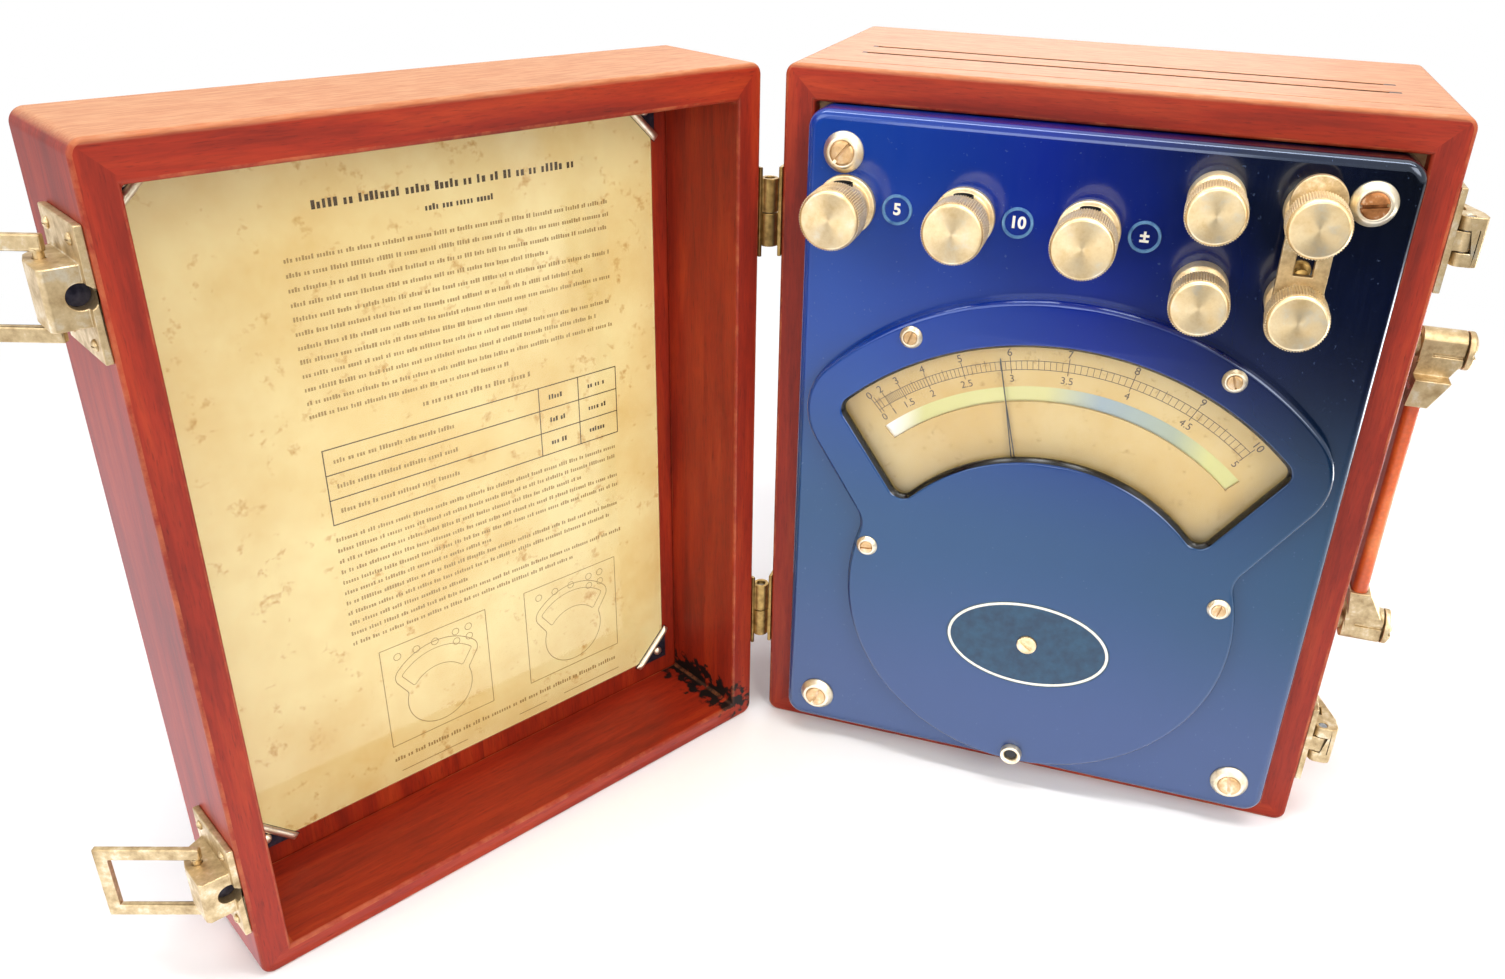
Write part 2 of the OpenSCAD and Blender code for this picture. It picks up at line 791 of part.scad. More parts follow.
// Arm that the crank pin turns; it carries the outer end of the hairspring
module zero_arm() {
    color("#c2a050") difference() {
        slab(face_y - 1.6, face_y - 0.8) {
            translate([0, axis_z]) circle(3.4, $fn = fine);
            translate([-1.6, crank_z - 1.5]) square([3.2, axis_z - crank_z]);
            translate([-1, axis_z]) square([2, 9]);
        }
        rod(0, axis_z, face_y, jewel_r + 0.05, 3);
        block([-0.85, face_y - 2, crank_z - 3], [0.85, face_y, crank_z + 1.2]);
    }
    // Stud behind the arm, close to the spring's outer end
    color("#c2a050") facing(0, axis_z + 7.75, shaft_front + 0.7)
        cylinder(r = 0.5, h = shaft_front + 0.7 - face_y + 1.2, $fn = 32);
}

// Shaft with its two pivots, the collet of the hairspring and the hub of the pointer
module movement_shaft() {
    back = rear_y - 0.9 + pivot_len;
    hub = back - pointer_y;
    front = back - shaft_front;
    color("#b9bdc2") turned(0, axis_z, back, [[0, 0], [pivot_r, 0], [pivot_r, pivot_len], [shaft_r, pivot_len],
        [shaft_r, hub - 0.8], [2.2, hub - 0.8], [2.2, hub - pointer_t], [shaft_r, hub - pointer_t],
        [shaft_r, front - 0.8], [1.5, front - 0.8], [1.5, front - 0.1], [shaft_r, front - 0.1],
        [shaft_r, front], [pivot_r, front], [pivot_r, front + pivot_len], [0, front + pivot_len]]);
}

// The moving system is drawn at zero and turned to the reading at rest
module at_reading() {
    translate([0, 0, axis_z]) rotate([0, -pointer_rest, 0]) translate([0, 0, -axis_z]) children();
}

module moving_vane() {
    front = bobbin_y + flange_t + 1;
    back = coil_back - flange_t - 1;
    color("#74767c") at_reading() {
        slab(front, back) sector(bore_r - 4, bore_r - 3, 28, 180);
        for (y = [front + 1, back - 2]) {
            slab(y, y + 1) translate([-1.2, axis_z - bore_r + 3.5]) square([2.4, bore_r - 4.5]);
            difference() {
                rod(0, axis_z, y + 1, 1.8, 1);
                rod(0, axis_z, y + 2, shaft_r, 3);
            }
        }
    }
}

module damping_vane() {
    color("#c4c8cc") at_reading() slab(box_y + 2, box_y + box_len - box_wall - 1) difference() {
        union() {
            translate([-0.4, axis_z - box_r + box_wall + 1]) square([0.8, box_r - box_wall - 1]);
            translate([0, axis_z]) circle(1.8, $fn = fine);
        }
        translate([0, axis_z]) circle(shaft_r, $fn = fine);
    }
}

// Knife-edge needle on a narrow A-shaped truss, with balance arms
module pointer() {
    color("#1b1a18") at_reading() slab(pointer_y, pointer_y + pointer_t) translate([0, axis_z]) difference() {
        union() {
            polygon([[2.2, -0.6], [0.5, 78], [0.18, 80], [0.18, pointer_len],
                [-0.18, pointer_len], [-0.18, 80], [-0.5, 78], [-2.2, -0.6]]);
            circle(2.6, $fn = fine);
            translate([-0.5, -12]) square([1, 12]);
            translate([0, -12]) circle(1.8, $fn = fine);
            translate([-9, -0.5]) square([18, 1]);
            for (s = [-1, 1]) translate([s * 9, 0]) circle(1.4, $fn = fine);
        }
        polygon([[1.45, 4], [0, 74], [-1.45, 4]]);
        circle(shaft_r, $fn = fine);
    }
}

// Flat spiral control spring between the collet and the zero arm
module hairspring() {
    turns = 3;
    steps = 20;
    r0 = 1.7;
    r1 = 7;
    w = 0.25;
    function at(i, side) = let (t = i / (turns * steps), r = r0 + (r1 - r0) * t + side * w / 2)
        [r * sin(360 * turns * t), r * cos(360 * turns * t)];
    color("#4a5f86") slab(shaft_front + 0.1, shaft_front + 0.7) translate([0, axis_z]) polygon(concat(
        [for (i = [0:turns * steps]) at(i, -1)], [for (i = [turns * steps:-1:0]) at(i, 1)]));
}

// Knurled knob with a blind bore for its stud, its back at depth y
module knob(p, y, d, h, hub) {
    color("#d8cfb8") difference() {
        facing(p[0], p[1], y) rotate_extrude($fn = 96) polygon(concat(
            hub > 0 ? [[0, 0], [hub_d / 2, 0], [hub_d / 2, hub]] : [[0, 0]],
            [[d / 2 - 0.8, hub], [d / 2, hub + 0.8], [d / 2, h - 1], [d / 2 - 1, h], [0, h]]));
        rod(p[0], p[1], y + cut, stud_r + stud_fit, stud_in + cut + 0.4);
        // Coin knurl, as shallow upright grooves
        facing(p[0], p[1], y - hub - 1.2) for (i = [0:knurls / 2 - 1]) rotate([0, 0, i * 720 / knurls])
            translate([d / 2 + 0.15, 0, 0]) rotate([0, 0, 45]) cube([0.6, 0.6, h - hub - 2.6]);
    }
}

module binding_knob(i) {
    knob(post_places[i], face_y - flange_h - barrel_h - run_gap, post_knob_d, post_knob_h, 0);
}

module low_range_knob() {
    binding_knob(0);
}

module high_range_knob() {
    binding_knob(1);
}

module common_knob() {
    binding_knob(2);
}

module upper_parking_knob() {
    knob(link_places[0], face_y - collar_h - run_gap, link_knob_d, link_knob_h, hub_h);
}

module lower_parking_knob() {
    knob(link_places[1], face_y - collar_h - run_gap, link_knob_d, link_knob_h, hub_h);
}

module upper_link_knob() {
    knob(link_places[2], bar_y - bar_t - bar_gap, link_knob_d, link_knob_h, hub_h);
}

module lower_link_knob() {
    knob(link_places[3], bar_y - bar_t - bar_gap, link_knob_d, link_knob_h, hub_h);
}

// Slotted link bar: turns on the lower stud, hooks round the upper one
module link_bar() {
    hook_half = stud_r + 0.35;
    color("#cfc4a6") slab(bar_y - bar_t, bar_y) translate([link_right, link_z]) difference() {
        union() {
            translate([-bar_half, 0]) square([2 * bar_half, link_pitch + 4]);
            translate([0, -5]) circle(7.6, $fn = 64);
            translate([0, link_pitch + 4]) circle(7.6, $fn = 64);
            translate([-bar_half, -5]) square([2 * bar_half, 5]);
        }
        circle(stud_r + stud_fit, $fn = fine);
        translate([-2.6, 9.5]) square([5.2, link_pitch - 17]);
        // Hook's mouth, bent along the stud's path
        polygon(concat(arc(0, 0, link_pitch + hook_half, 0, 28, 12),
            arc(0, 0, link_pitch - hook_half, 28, 0, 12)));
        translate([0, link_pitch]) circle(hook_half, $fn = fine);
    }
}

// Half of a slip hinge: leaf on the side wall and one knuckle; up is 1 for the upper knuckle
module hinge_leaf(z, up) {
    knuckle_z = up > 0 ? z + knuckle_gap / 2 : z - knuckle_gap / 2 - knuckle_h;
    difference() {
        union() {
            block([-side_x - leaf_t, hinge_y, z - leaf_h / 2], [-side_x, hinge_y + leaf_d, z + leaf_h / 2]);
            block([hinge_x + 0.5, hinge_y, knuckle_z], [-side_x, hinge_y + 2.6, knuckle_z + knuckle_h]);
            translate([hinge_x, hinge_y, knuckle_z]) cylinder(r = barrel_r, h = knuckle_h, $fn = fine);
        }
        translate([hinge_x, hinge_y, knuckle_z - cut])
            cylinder(r = pin_r + (up > 0 ? pin_fit : 0), h = knuckle_h + 2 * cut, $fn = fine);
    }
}

module case_hinge_leaves() {
    color("#b9a878") for (z = hinge_places) intersection() {
        hinge_leaf(z, -1);
        block([-side_x - 30, front_y - 5, 0], [-side_x, back_y, case_h]);
    }
}

// Pins stay in the lower knuckles, so that the lid can be lifted off
module hinge_pins() {
    color("#c8c2b2") for (z = hinge_places) translate([hinge_x, hinge_y, z - knuckle_h])
        cylinder(r = pin_r, h = 2 * knuckle_h - 1, $fn = fine);
}

// The lid's leaves mirror the case's about the rim plane
module lid_hinge_leaves() {
    color("#b9a878") lid_pose() translate([0, hinge_y, 0]) mirror([0, 1, 0]) translate([0, -hinge_y, 0])
        for (z = hinge_places) hinge_leaf(z, 1);
}

// Catch plate on the case wall: plate, half-round groove and the middle knuckle
module catch_plates() {
    color("#cbbf9a") for (z = catch_places) difference() {
        union() {
            block([side_x, front_y + 1, z - plate_half],
                [side_x + plate_t, front_y + 1 + plate_d, z + plate_half]);
            block([side_x + plate_t - 0.5, catch_pin_y - knuckle_r + 0.4, z - knuckle_half],
                [catch_pin_x, catch_pin_y + knuckle_r, z + knuckle_half]);
            translate([catch_pin_x, catch_pin_y, z - knuckle_half])
                cylinder(r = knuckle_r, h = 2 * knuckle_half, $fn = fine);
        }
        translate([catch_pin_x, catch_pin_y, z - knuckle_half - cut])
            cylinder(r = catch_pin_r, h = 2 * knuckle_half + 2 * cut, $fn = fine);
    }
}

module catch_pins() {
    color("#c8c2b2") for (z = catch_places) translate([catch_pin_x, catch_pin_y, z - lever_half + 0.4])
        cylinder(r = catch_pin_r, h = 2 * lever_half - 0.8, $fn = fine);
}

// Lever: a wedge that tapers to its finger tab at the back, with a groove for the loop's bar
module catch_lever(z) {
    x = catch_pin_x;
    y = catch_pin_y;
    gap = 0.2;
    color("#d6cbaa") difference() {
        translate([x, y, z - lever_half]) linear_extrude(2 * lever_half) polygon(concat(
            [for (a = [180:-15:90]) [2.7 * cos(a), -2.7 * sin(a)]],
            [[3, -2.6], [4.6, -1.9], [5.2, 0], [4.6, 5], [1.4, 13.5], [-0.4, 18.5], [-2.2, 18.5],
            [-2.7, 10.7], [-0.2, 10.7], [-0.2, 6.1], [-2.7, 6.1]]));
        block([x - 4, y - knuckle_r - 2 * gap, z - knuckle_half - gap],
            [x + knuckle_r + 2 * gap, y + knuckle_r + 6 * gap, z + knuckle_half + gap]);
        rod(x - 1, z, y, tunnel_r, 8);
        translate([x, y, z - lever_half - cut])
            cylinder(r = catch_pin_r + 0.05, h = 2 * lever_half + 2 * cut, $fn = fine);
    }
}

module upper_catch_lever() {
    catch_lever(catch_places[0]);
}

module lower_catch_lever() {
    catch_lever(catch_places[1]);
}

// Brackets on the lid's free wall that the loops turn in
module loop_brackets() {
    color("#cbbf9a") lid_pose() for (z = catch_places) difference() {
        union() {
            block([side_x, lid_rim_y - 1 - bracket_d, z - bracket_half],
                [side_x + plate_t, lid_rim_y - 1, z + bracket_half]);
            translate([side_x, lid_rim_y, z - lever_half]) linear_extrude(2 * lever_half)
                polygon([[plate_t, -3], [9.6, -3], [10.6, -4.2], [10.6, -14],
                    [9.4, -18.5], [6.4, -22], [plate_t, -24]]);
        }
        rod(side_x + 3.2, z, lid_rim_y - 1, tunnel_r, 6);
        translate([loop_x, loop_y, z - lever_half - cut])
            cylinder(r = loop_pin_r + loop_pin_fit, h = 2 * lever_half + 2 * cut, $fn = fine);
    }
}

// Flat loop, drawn along +X from its pin axis and turned back to where it hangs
module catch_loop(z) {
    color("#d6cbaa") lid_pose() translate([loop_x, loop_y, z]) rotate([0, 0, -loop_rest]) {
        difference() {
            block([-1.6, -loop_t / 2, -loop_half], [loop_len, loop_t / 2, loop_half]);
            block([-3, -loop_t, -loop_window], [loop_len - loop_bar, loop_t, loop_window]);
        }
        for (foot = [3.4, -loop_window - 0.5]) translate([0, 0, foot])
            cylinder(r = loop_pin_r, h = loop_window - 2.9, $fn = fine);
    }
}

module upper_loop() {
    catch_loop(catch_places[0]);
}

module lower_loop() {
    catch_loop(catch_places[1]);
}

// Round posts on the right wall that carry the handle
module handle_posts() {
    head = ferrule_x + ferrule_len + head_gap - side_x;
    color("#cdc4ad") for (z = handle_places) difference() {
        translate([side_x, handle_y, z]) rotate([0, 90, 0]) rotate_extrude($fn = fine) polygon([[0, 0],
            [post_flange_r, 0], [post_flange_r, 0.8], [post_flange_r - 1, post_flange_t],
            [post_shank_r, post_flange_t], [post_shank_r, head], [ferrule_r, head],
            [ferrule_r, head + head_t - 1.2], [ferrule_r - 1.6, head + head_t - 0.2], [0, head + head_t]]);
        translate([side_x + head + head_t - 1.4, handle_y - 10, z - 0.8]) cube([3, 20, 1.6]);
    }
}

// Sheet ends of the handle: a split roll round the post and a tapered grip on the strap
module handle_ferrules() {
    color("#cfc4a6") for (s = [1, -1]) {
        z = mid_z + s * handle_span / 2;
        grip_end = z - s * (strap_end + strap_grip);
        end_x = ferrule_x + ferrule_len;
        half = strap_w / 2 + ferrule_wall;
        difference() {
            union() {
                translate([ferrule_x, handle_y, z]) rotate([0, 90, 0])
                    cylinder(r = ferrule_r, h = ferrule_len, $fn = fine);
                translate([0, handle_y + half, 0]) rotate([90, 0, 0]) linear_extrude(2 * half)
                    polygon([[ferrule_x + 0.2, z - s * 3.6], [end_x - 0.2, z - s * 3.6],
                        [strap_x + strap_t + ferrule_wall, grip_end], [strap_x - 0.6, grip_end]]);
            }
            translate([ferrule_x - cut, handle_y, z]) rotate([0, 90, 0])
                cylinder(r = post_shank_r + ferrule_fit, h = ferrule_len + 2 * cut, $fn = fine);
            block([ferrule_x - cut, handle_y - 30, z - 8], [end_x + cut, handle_y - ferrule_r + 1.2, z + 8]);
            block([ferrule_x - cut, handle_y + ferrule_r - 1.2, z - 8], [end_x + cut, handle_y + 30, z + 8]);
            translate([ferrule_x + 4, handle_y - ferrule_r - 2, z - s * 1.2 - 0.5]) cube([ferrule_len, 4, 1]);
            strap_solid();
        }
    }
}

module strap_solid() {
    length = handle_span - 2 * strap_end;
    translate([strap_x + strap_t / 2, handle_y, mid_z - length / 2]) linear_extrude(length)
        round_rect(strap_t, strap_w, 2.4);
}

module handle_strap() {
    color("#d2691e") strap_solid();
}

// Wooden lid
module lid_walls() {
    color("#8a3b22") lid_pose() difference() {
        slab(lid_front_y, lid_rim_y) at_mid() round_rect(case_w, case_h, edge_r);
        slab(lid_front_y - cut, lid_rim_y + cut) opening(lid_inner_w);
        slab(lid_front_y - cut, lid_inner_y) opening(lid_inner_w, rabbet);
    }
}

module lid_board() {
    color("#7a3520") lid_pose() slab(lid_front_y, lid_inner_y) opening(lid_inner_w, rabbet);
}

// Sheet with holes for the four clip pins
module card_sheet() {
    translate([0, card_z]) difference() {
        square([card_w, card_h], center = true);
        for (sx = [-1, 1]) for (sz = [-1, 1])
            translate([sx * (card_w / 2 - clip_in), sz * (card_h / 2 - clip_in)])
                circle(clip_pin_r + 0.05, $fn = 32);
    }
}

module instruction_card() {
    color("#efe0a8") lid_pose() slab(lid_inner_y, lid_inner_y + card_t) card_sheet();
}

module card_film() {
    color("#f6f4e6", 0.3) lid_pose() slab(lid_inner_y + card_t, lid_inner_y + card_t + film_t) card_sheet();
}

// Four pressed corner clips over the card, each with its round-headed pin
module card_clips() {
    y = lid_inner_y + card_t + film_t;
    leg = 15;
    color("#d0c8b4") lid_pose() for (sx = [-1, 1]) for (sz = [-1, 1]) {
        x = sx * (card_w / 2 + 1.2);
        z = sz * (card_h / 2 + 1.2);
        pin_x = sx * (card_w / 2 - clip_in);
        pin_z = card_z + sz * (card_h / 2 - clip_in);
        difference() {
            slab(y, y + 0.8) translate([0, card_z]) polygon([[x, z], [x - sx * leg, z], [x, z - sz * leg]]);
            facing(pin_x, pin_z, y + 2) cylinder(r = clip_pin_r, h = 4, $fn = 32);
        }
        facing(pin_x, pin_z, y) rotate([180, 0, 0]) rotate_extrude($fn = 32) polygon([[0, -card_t - film_t],
            [clip_pin_r, -card_t - film_t], [clip_pin_r, 0.8], [2, 0.8], [1.4, 1.7], [0, 2]]);
    }
}

case_walls();
case_back();
corner_blocks();
panel();
panel_screws();
panel_cup_washers();
window_cover();
cover_screws();
cover_cup_washers();
seal_cup();
window_glass();
scale_plate();
mirror_strip();
binding_posts();
link_posts();
stud_nuts();
bus_straps();
catch_plates();
catch_pins();
case_hinge_leaves();
hinge_pins();
handle_posts();
movement_base();
coil_bobbin();
coil_winding();
fixed_vane();
movement_bridges();
jewel_screws();
damping_box();
damping_cover();
magnetic_shield();
zero_corrector();
zero_arm();
movement_shaft();
moving_vane();
damping_vane();
pointer();
hairspring();
low_range_knob();
high_range_knob();
common_knob();
upper_parking_knob();
lower_parking_knob();
upper_link_knob();
lower_link_knob();
link_bar();
upper_catch_lever();
lower_catch_lever();
handle_strap();
handle_ferrules();
lid_walls();
lid_board();
instruction_card();
card_film();
card_clips();
lid_hinge_leaves();
loop_brackets();
upper_loop();
lower_loop();
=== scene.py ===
import json
import random
from functools import partial
from math import atan2, copysign, cos, degrees, hypot, pi, radians, sin, sqrt

import bmesh
import bpy
from mathutils import Matrix, Vector
from mathutils.geometry import tessellate_polygon

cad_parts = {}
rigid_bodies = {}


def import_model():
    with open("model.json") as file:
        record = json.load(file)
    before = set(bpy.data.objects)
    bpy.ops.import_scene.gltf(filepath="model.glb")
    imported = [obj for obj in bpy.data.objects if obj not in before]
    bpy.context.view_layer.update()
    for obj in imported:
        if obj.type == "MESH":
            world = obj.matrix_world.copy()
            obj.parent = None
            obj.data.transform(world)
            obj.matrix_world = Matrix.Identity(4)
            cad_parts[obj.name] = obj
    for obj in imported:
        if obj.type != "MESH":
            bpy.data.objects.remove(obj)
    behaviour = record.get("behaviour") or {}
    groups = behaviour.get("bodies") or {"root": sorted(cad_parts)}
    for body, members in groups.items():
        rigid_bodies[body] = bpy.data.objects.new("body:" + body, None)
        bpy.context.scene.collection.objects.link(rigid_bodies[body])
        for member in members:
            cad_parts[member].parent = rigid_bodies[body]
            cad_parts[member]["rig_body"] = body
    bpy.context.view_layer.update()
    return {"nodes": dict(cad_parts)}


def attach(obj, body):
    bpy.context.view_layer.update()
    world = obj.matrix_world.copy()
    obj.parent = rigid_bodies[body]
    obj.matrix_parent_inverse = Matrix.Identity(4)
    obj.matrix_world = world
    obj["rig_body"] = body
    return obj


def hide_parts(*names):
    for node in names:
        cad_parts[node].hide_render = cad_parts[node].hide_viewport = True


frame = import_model()
nodes = frame["nodes"]
scene = bpy.context.scene
mm = 0.001
print("frame loaded with", len(nodes), "nodes")

# Sizes shared by several pieces, in millimetres
meter = {"faceY": -60.5, "coverY": -65.5, "height": 253.0, "halfWidth": 100.0, "axisZ": 73.0,
    "openingMidZ": 124.35, "hinge": (-104.24, -51.65), "openAngle": 119.0, "catchHeights": (218.0, 35.0),
    "hingeHeights": (48.0, 205.0)}
faceY, coverY, axisZ = meter["faceY"], meter["coverY"], meter["axisZ"]
quarterTurn = radians(90)
openTurn = radians(meter["openAngle"])

# The lid's pieces are built on the shut case and swung open with this
hingePoint = Vector((*meter["hinge"], 0)) * mm
swing = Matrix.Rotation(-openTurn, 4, "Z")
lidPlace = Matrix.Translation(hingePoint) @ swing @ Matrix.Translation(-hingePoint)


def linear(hexColour):
    # Turns an sRGB hex colour into the linear one that sockets take
    values = [int(hexColour[i:i + 2], 16) / 255 for i in (1, 3, 5)]
    return tuple(v / 12.92 if v <= 0.04045 else ((v + 0.055) / 1.055) ** 2.4 for v in values) + (1.0,)


def addNode(tree, kind, inputs=(), out=0, stops=(), **settings):
    # Adds one node with its settings, its inputs set or linked and its ramp's stops, a lone number for grey.
    # Gives back one output, or the node itself when out is None. Shader nodes are named without their prefix
    node = tree.nodes.new(kind if "Node" in kind else "ShaderNode" + kind)
    for name, value in settings.items():
        setattr(node, name, value)
    for name, value in (inputs if isinstance(inputs, dict) else dict(enumerate(inputs))).items():
        if isinstance(value, bpy.types.NodeSocket):
            tree.links.new(value, node.inputs[name])
        else:
            node.inputs[name].default_value = linear(value) if str(value).startswith("#") else value
    if stops:
        elements = node.color_ramp.elements
        while len(elements) < len(stops):
            elements.new(0.5)
        for element, (position, colour) in zip(elements, stops):
            element.position = position
            element.color = linear(colour) if isinstance(colour, str) else (colour, colour, colour, 1)
    return node if out is None else node.outputs[out]


def newMaterial(name, build, *choices):
    # Makes a material of the shader that build puts in its tree
    material = bpy.data.materials.new(name)
    material.use_nodes = True
    tree = material.node_tree
    tree.nodes.clear()
    addNode(tree, "OutputMaterial", [build(partial(addNode, tree), *choices)], None)
    return material


def mahogany(add, lid=False, worn=False, boards=True):
    # Solid mahogany, planed and lacquered: red-brown with long dark pores, ribbon stripe, a soft gloss
    # and, where the arrises are rubbed, pale bare wood
    here = add("TexCoord", out="Object")
    if lid:
        offset = hingePoint - Matrix.Rotation(openTurn, 4, "Z") @ hingePoint
        here = add("Mapping", {"Vector": here, "Location": offset, "Rotation": (0, 0, openTurn)})
    x, y, z = add("SeparateXYZ", [here], None).outputs
    # Mitred frame: top and bottom boards run along X, side boards along Z
    halfHeight = meter["height"] / 2 * mm
    fromMiddle = add("VectorMath", (here, (0, 0, halfHeight)), operation="SUBTRACT")
    fromMiddle = add("VectorMath", [fromMiddle], operation="ABSOLUTE")
    left = add("VectorMath", ((meter["halfWidth"] * mm, 0, halfHeight), fromMiddle), operation="SUBTRACT")
    toSide, _, toEnd = add("SeparateXYZ", [left], None).outputs
    onEnd = add("Math", (toEnd, toSide), operation="LESS_THAN") if boards else 0.0
    along, across, board = [add("Mix", {0: onEnd, 2: a, 3: b}) for a, b in ((z, x), (x, z), (0.0, 0.37))]
    # Boards on either side of the middle are cut from other planks
    side = add("Math", (add("Math", [across], operation="SIGN"), 0.11, across), operation="MULTIPLY_ADD")
    grain = add("CombineXYZ", (add("Math", (along, 0.09), operation="MULTIPLY"),
        add("Math", (side, board), operation="ADD"), y))
    # Growth bands 6 mm wide; fibres and pores 0.5 mm wide, coarser than the real 0.2 mm, which wouldn't show
    bands = add("TexNoise", {"Vector": grain, "Scale": 160.0, "Detail": 4.0, "Roughness": 0.55,
        "Distortion": 0.6})
    fibres = add("TexNoise", {"Vector": grain, "Scale": 1500.0, "Detail": 3.0, "Roughness": 0.6})
    pores = add("TexNoise", {"Vector": grain, "Scale": 2600.0, "Detail": 2.0})
    cloud = add("TexNoise", {"Vector": here, "Scale": 11.0, "Detail": 2.0})
    colour = add("ValToRGB", [bands], stops=((0.22, "#741a06"), (0.5, "#94260a"), (0.78, "#ad3b14")))
    for source, amount, stops in ((fibres, 0.75, ((0.36, 0.84), (0.6, 1.08))),
            (pores, 0.6, ((0.27, 0.42), (0.4, 1.0))), (cloud, 0.6, ((0.35, "#cfb0a4"), (0.65, "#fff4ea")))):
        colour = add("Mix", {0: amount, 6: colour, 7: add("ValToRGB", [source], stops=stops)}, 2,
            data_type="RGBA", blend_type="MULTIPLY")
    # Layers of (share, colour) over the wood; first the outside of the top, painted lighter as a painted
    # highlight of the light from above
    top = add("MapRange", {"Value": z, "From Min": 0.2512, "From Max": 0.2529, "To Max": 0.85})
    layers = [(top, add("ValToRGB", [fibres], stops=((0.35, "#b8794f"), (0.62, "#cf9a6e"))))]
    if boards and not lid:
        # The vents' own walls are painted dark: painted shade in the slots
        front, back = [add("Math", (y, middle, 0.00128), operation="COMPARE") for middle in (-0.0185, -0.003)]
        inside = add("Math", (front, back), operation="MAXIMUM")
        for test in (add("Math", (x, 0.0, 0.0835), operation="COMPARE"),
                add("Math", (z, 0.2405), operation="GREATER_THAN"), 0.93):
            inside = add("Math", (inside, test), operation="MULTIPLY")
        layers.append((inside, "#1c0805"))
    if lid and boards:
        # Near black along the seam of the two inner walls by the lower hinge, broken up by noise
        seam = add("VectorMath", (here, (1.0, 0.16, 1.0)), operation="MULTIPLY")
        near = add("VectorMath", (seam, (-0.0915, -0.01336, 0.0075)), "Value", operation="DISTANCE")
        splash = add("TexNoise", {"Vector": here, "Scale": 240.0, "Detail": 4.0})
        reach = add("Math", (splash, 0.035, near), operation="MULTIPLY_ADD")
        soot = add("MapRange", {"Value": reach, "From Min": 0.0262, "From Max": 0.0235})
        layers.append((soot, "#0d0806"))
    # Knocks and rubbed spots
    knocks = add("TexNoise", {"Vector": here, "Scale": 75.0, "Detail": 5.0, "Roughness": 0.72})
    stops = ((0.45, 0.05), (0.68, 0.65)) if worn else ((0.73, 0.0), (0.78, 0.5))
    layers.append((add("ValToRGB", [knocks], stops=stops), "#b9683c" if worn else "#b5603f"))
    for share, over in layers:
        colour = add("Mix", {0: share, 6: colour, 7: over}, 2, data_type="RGBA")
    bump = add("Bump", {"Height": pores, "Strength": 0.16, "Distance": 0.0002})
    return add("BsdfPrincipled", {"Base Color": colour, "Roughness": 0.55, "Specular IOR Level": 0.25,
        "Coat Weight": 0.1, "Coat Roughness": 0.22, "Coat IOR": 1.5, "Normal": bump})


def moulding(add):
    # Phenolic moulding, pressed and polished: navy, with painted shade that darkens it to near black to the
    # right and upwards and a painted reflection of the pale floor in teal and grey-blue at the foot, a clear
    # gloss with a faint haze, dust and hairline scratches that show in the shine
    here = add("TexCoord", out="Object")
    x, y, z = add("SeparateXYZ", [here], None).outputs
    haze = add("TexNoise", {"Vector": here, "Scale": 14.0, "Detail": 4.0})
    specks = add("TexNoise", {"Vector": here, "Scale": 900.0, "Detail": 1.0})
    # Painted shade: the navy darkens to near black to the right and upwards, with a slight wobble
    slope = add("Math", (z, 0.3, add("Math", (haze, 0.06, x), operation="MULTIPLY_ADD")),
        operation="MULTIPLY_ADD")
    faded = add("MapRange", {"Value": slope, "From Min": 0.01, "From Max": 0.19})
    colour = add("ValToRGB", [faded],
        stops=((0.0, "#07368c"), (0.42, "#021a78"), (0.78, "#010828"), (1.0, "#010205")))
    # Painted reflection of the pale floor: teal, then grey-blue, towards the foot
    layers = [(add("MapRange", {"Value": z, "From Min": high, "From Max": low, "To Max": share},
        interpolation_type="SMOOTHSTEP"), over) for high, low, share, over in
        ((0.18, 0.1, 0.8, "#17405c"), (0.1, 0.03, 0.6, "#3c4778"))]
    layers.append((add("ValToRGB", [specks], stops=((0.74, 0.0), (0.8, 0.3))), "#5f7396"))
    for share, over in layers:
        colour = add("Mix", {0: share, 6: colour, 7: over}, 2, data_type="RGBA")
    streaks = add("Mapping", {"Vector": here, "Rotation": (0, 0.6, 0), "Scale": (1, 1, 0.08)})
    scratches = add("TexNoise", {"Vector": streaks, "Scale": 1400.0, "Detail": 2.0})
    rough = add("ValToRGB", [scratches], stops=((0.35, 0.15), (0.72, 0.2)))
    waves = add("TexNoise", {"Vector": here, "Scale": 260.0, "Detail": 2.0})
    bump = add("Bump", {"Height": waves, "Strength": 0.05, "Distance": 0.0002})
    return add("BsdfPrincipled", {"Base Color": colour, "Roughness": rough, "IOR": 1.58, "Normal": bump,
        "Specular Tint": "#c4dcff", "Coat Weight": 0.4, "Coat Roughness": 0.07, "Coat IOR": 1.5})


def plated(add, light="#f0dcb4", dark="#d0b586", rough=0.48, brushed=0.0):
    # Nickel plate on brass, satin: warm beige metal, a little yellowed, with a brushed or turned lay
    here = add("TexCoord", out=None).outputs
    cloud = add("TexNoise", {"Vector": here["Object"], "Scale": 190.0, "Detail": 5.0, "Roughness": 0.65})
    colour = add("ValToRGB", [cloud], stops=((0.3, dark), (0.55, light), (0.8, "#f5edd8")))
    wear = add("ValToRGB", [cloud], stops=((0.35, rough + 0.14), (0.7, rough - 0.04)))
    look = {"Metallic": 1.0, "Base Color": colour, "Roughness": wear, "Anisotropic": brushed}
    lay, strength = cloud, 0.08
    if brushed:
        # Turned marks follow the piece's own rings, 0.1 mm apart
        rings = add("Mapping", {"Vector": here["UV"], "Scale": (0.4, 90.0, 1.0)})
        lay, strength = add("TexNoise", {"Vector": rings, "Scale": 3.0, "Detail": 3.0}), 0.12
        look["Tangent"] = add("Tangent", direction_type="UV_MAP", uv_map="UVMap")
    look["Normal"] = add("Bump", {"Height": lay, "Strength": strength, "Distance": 0.0001})
    return add("BsdfPrincipled", look)


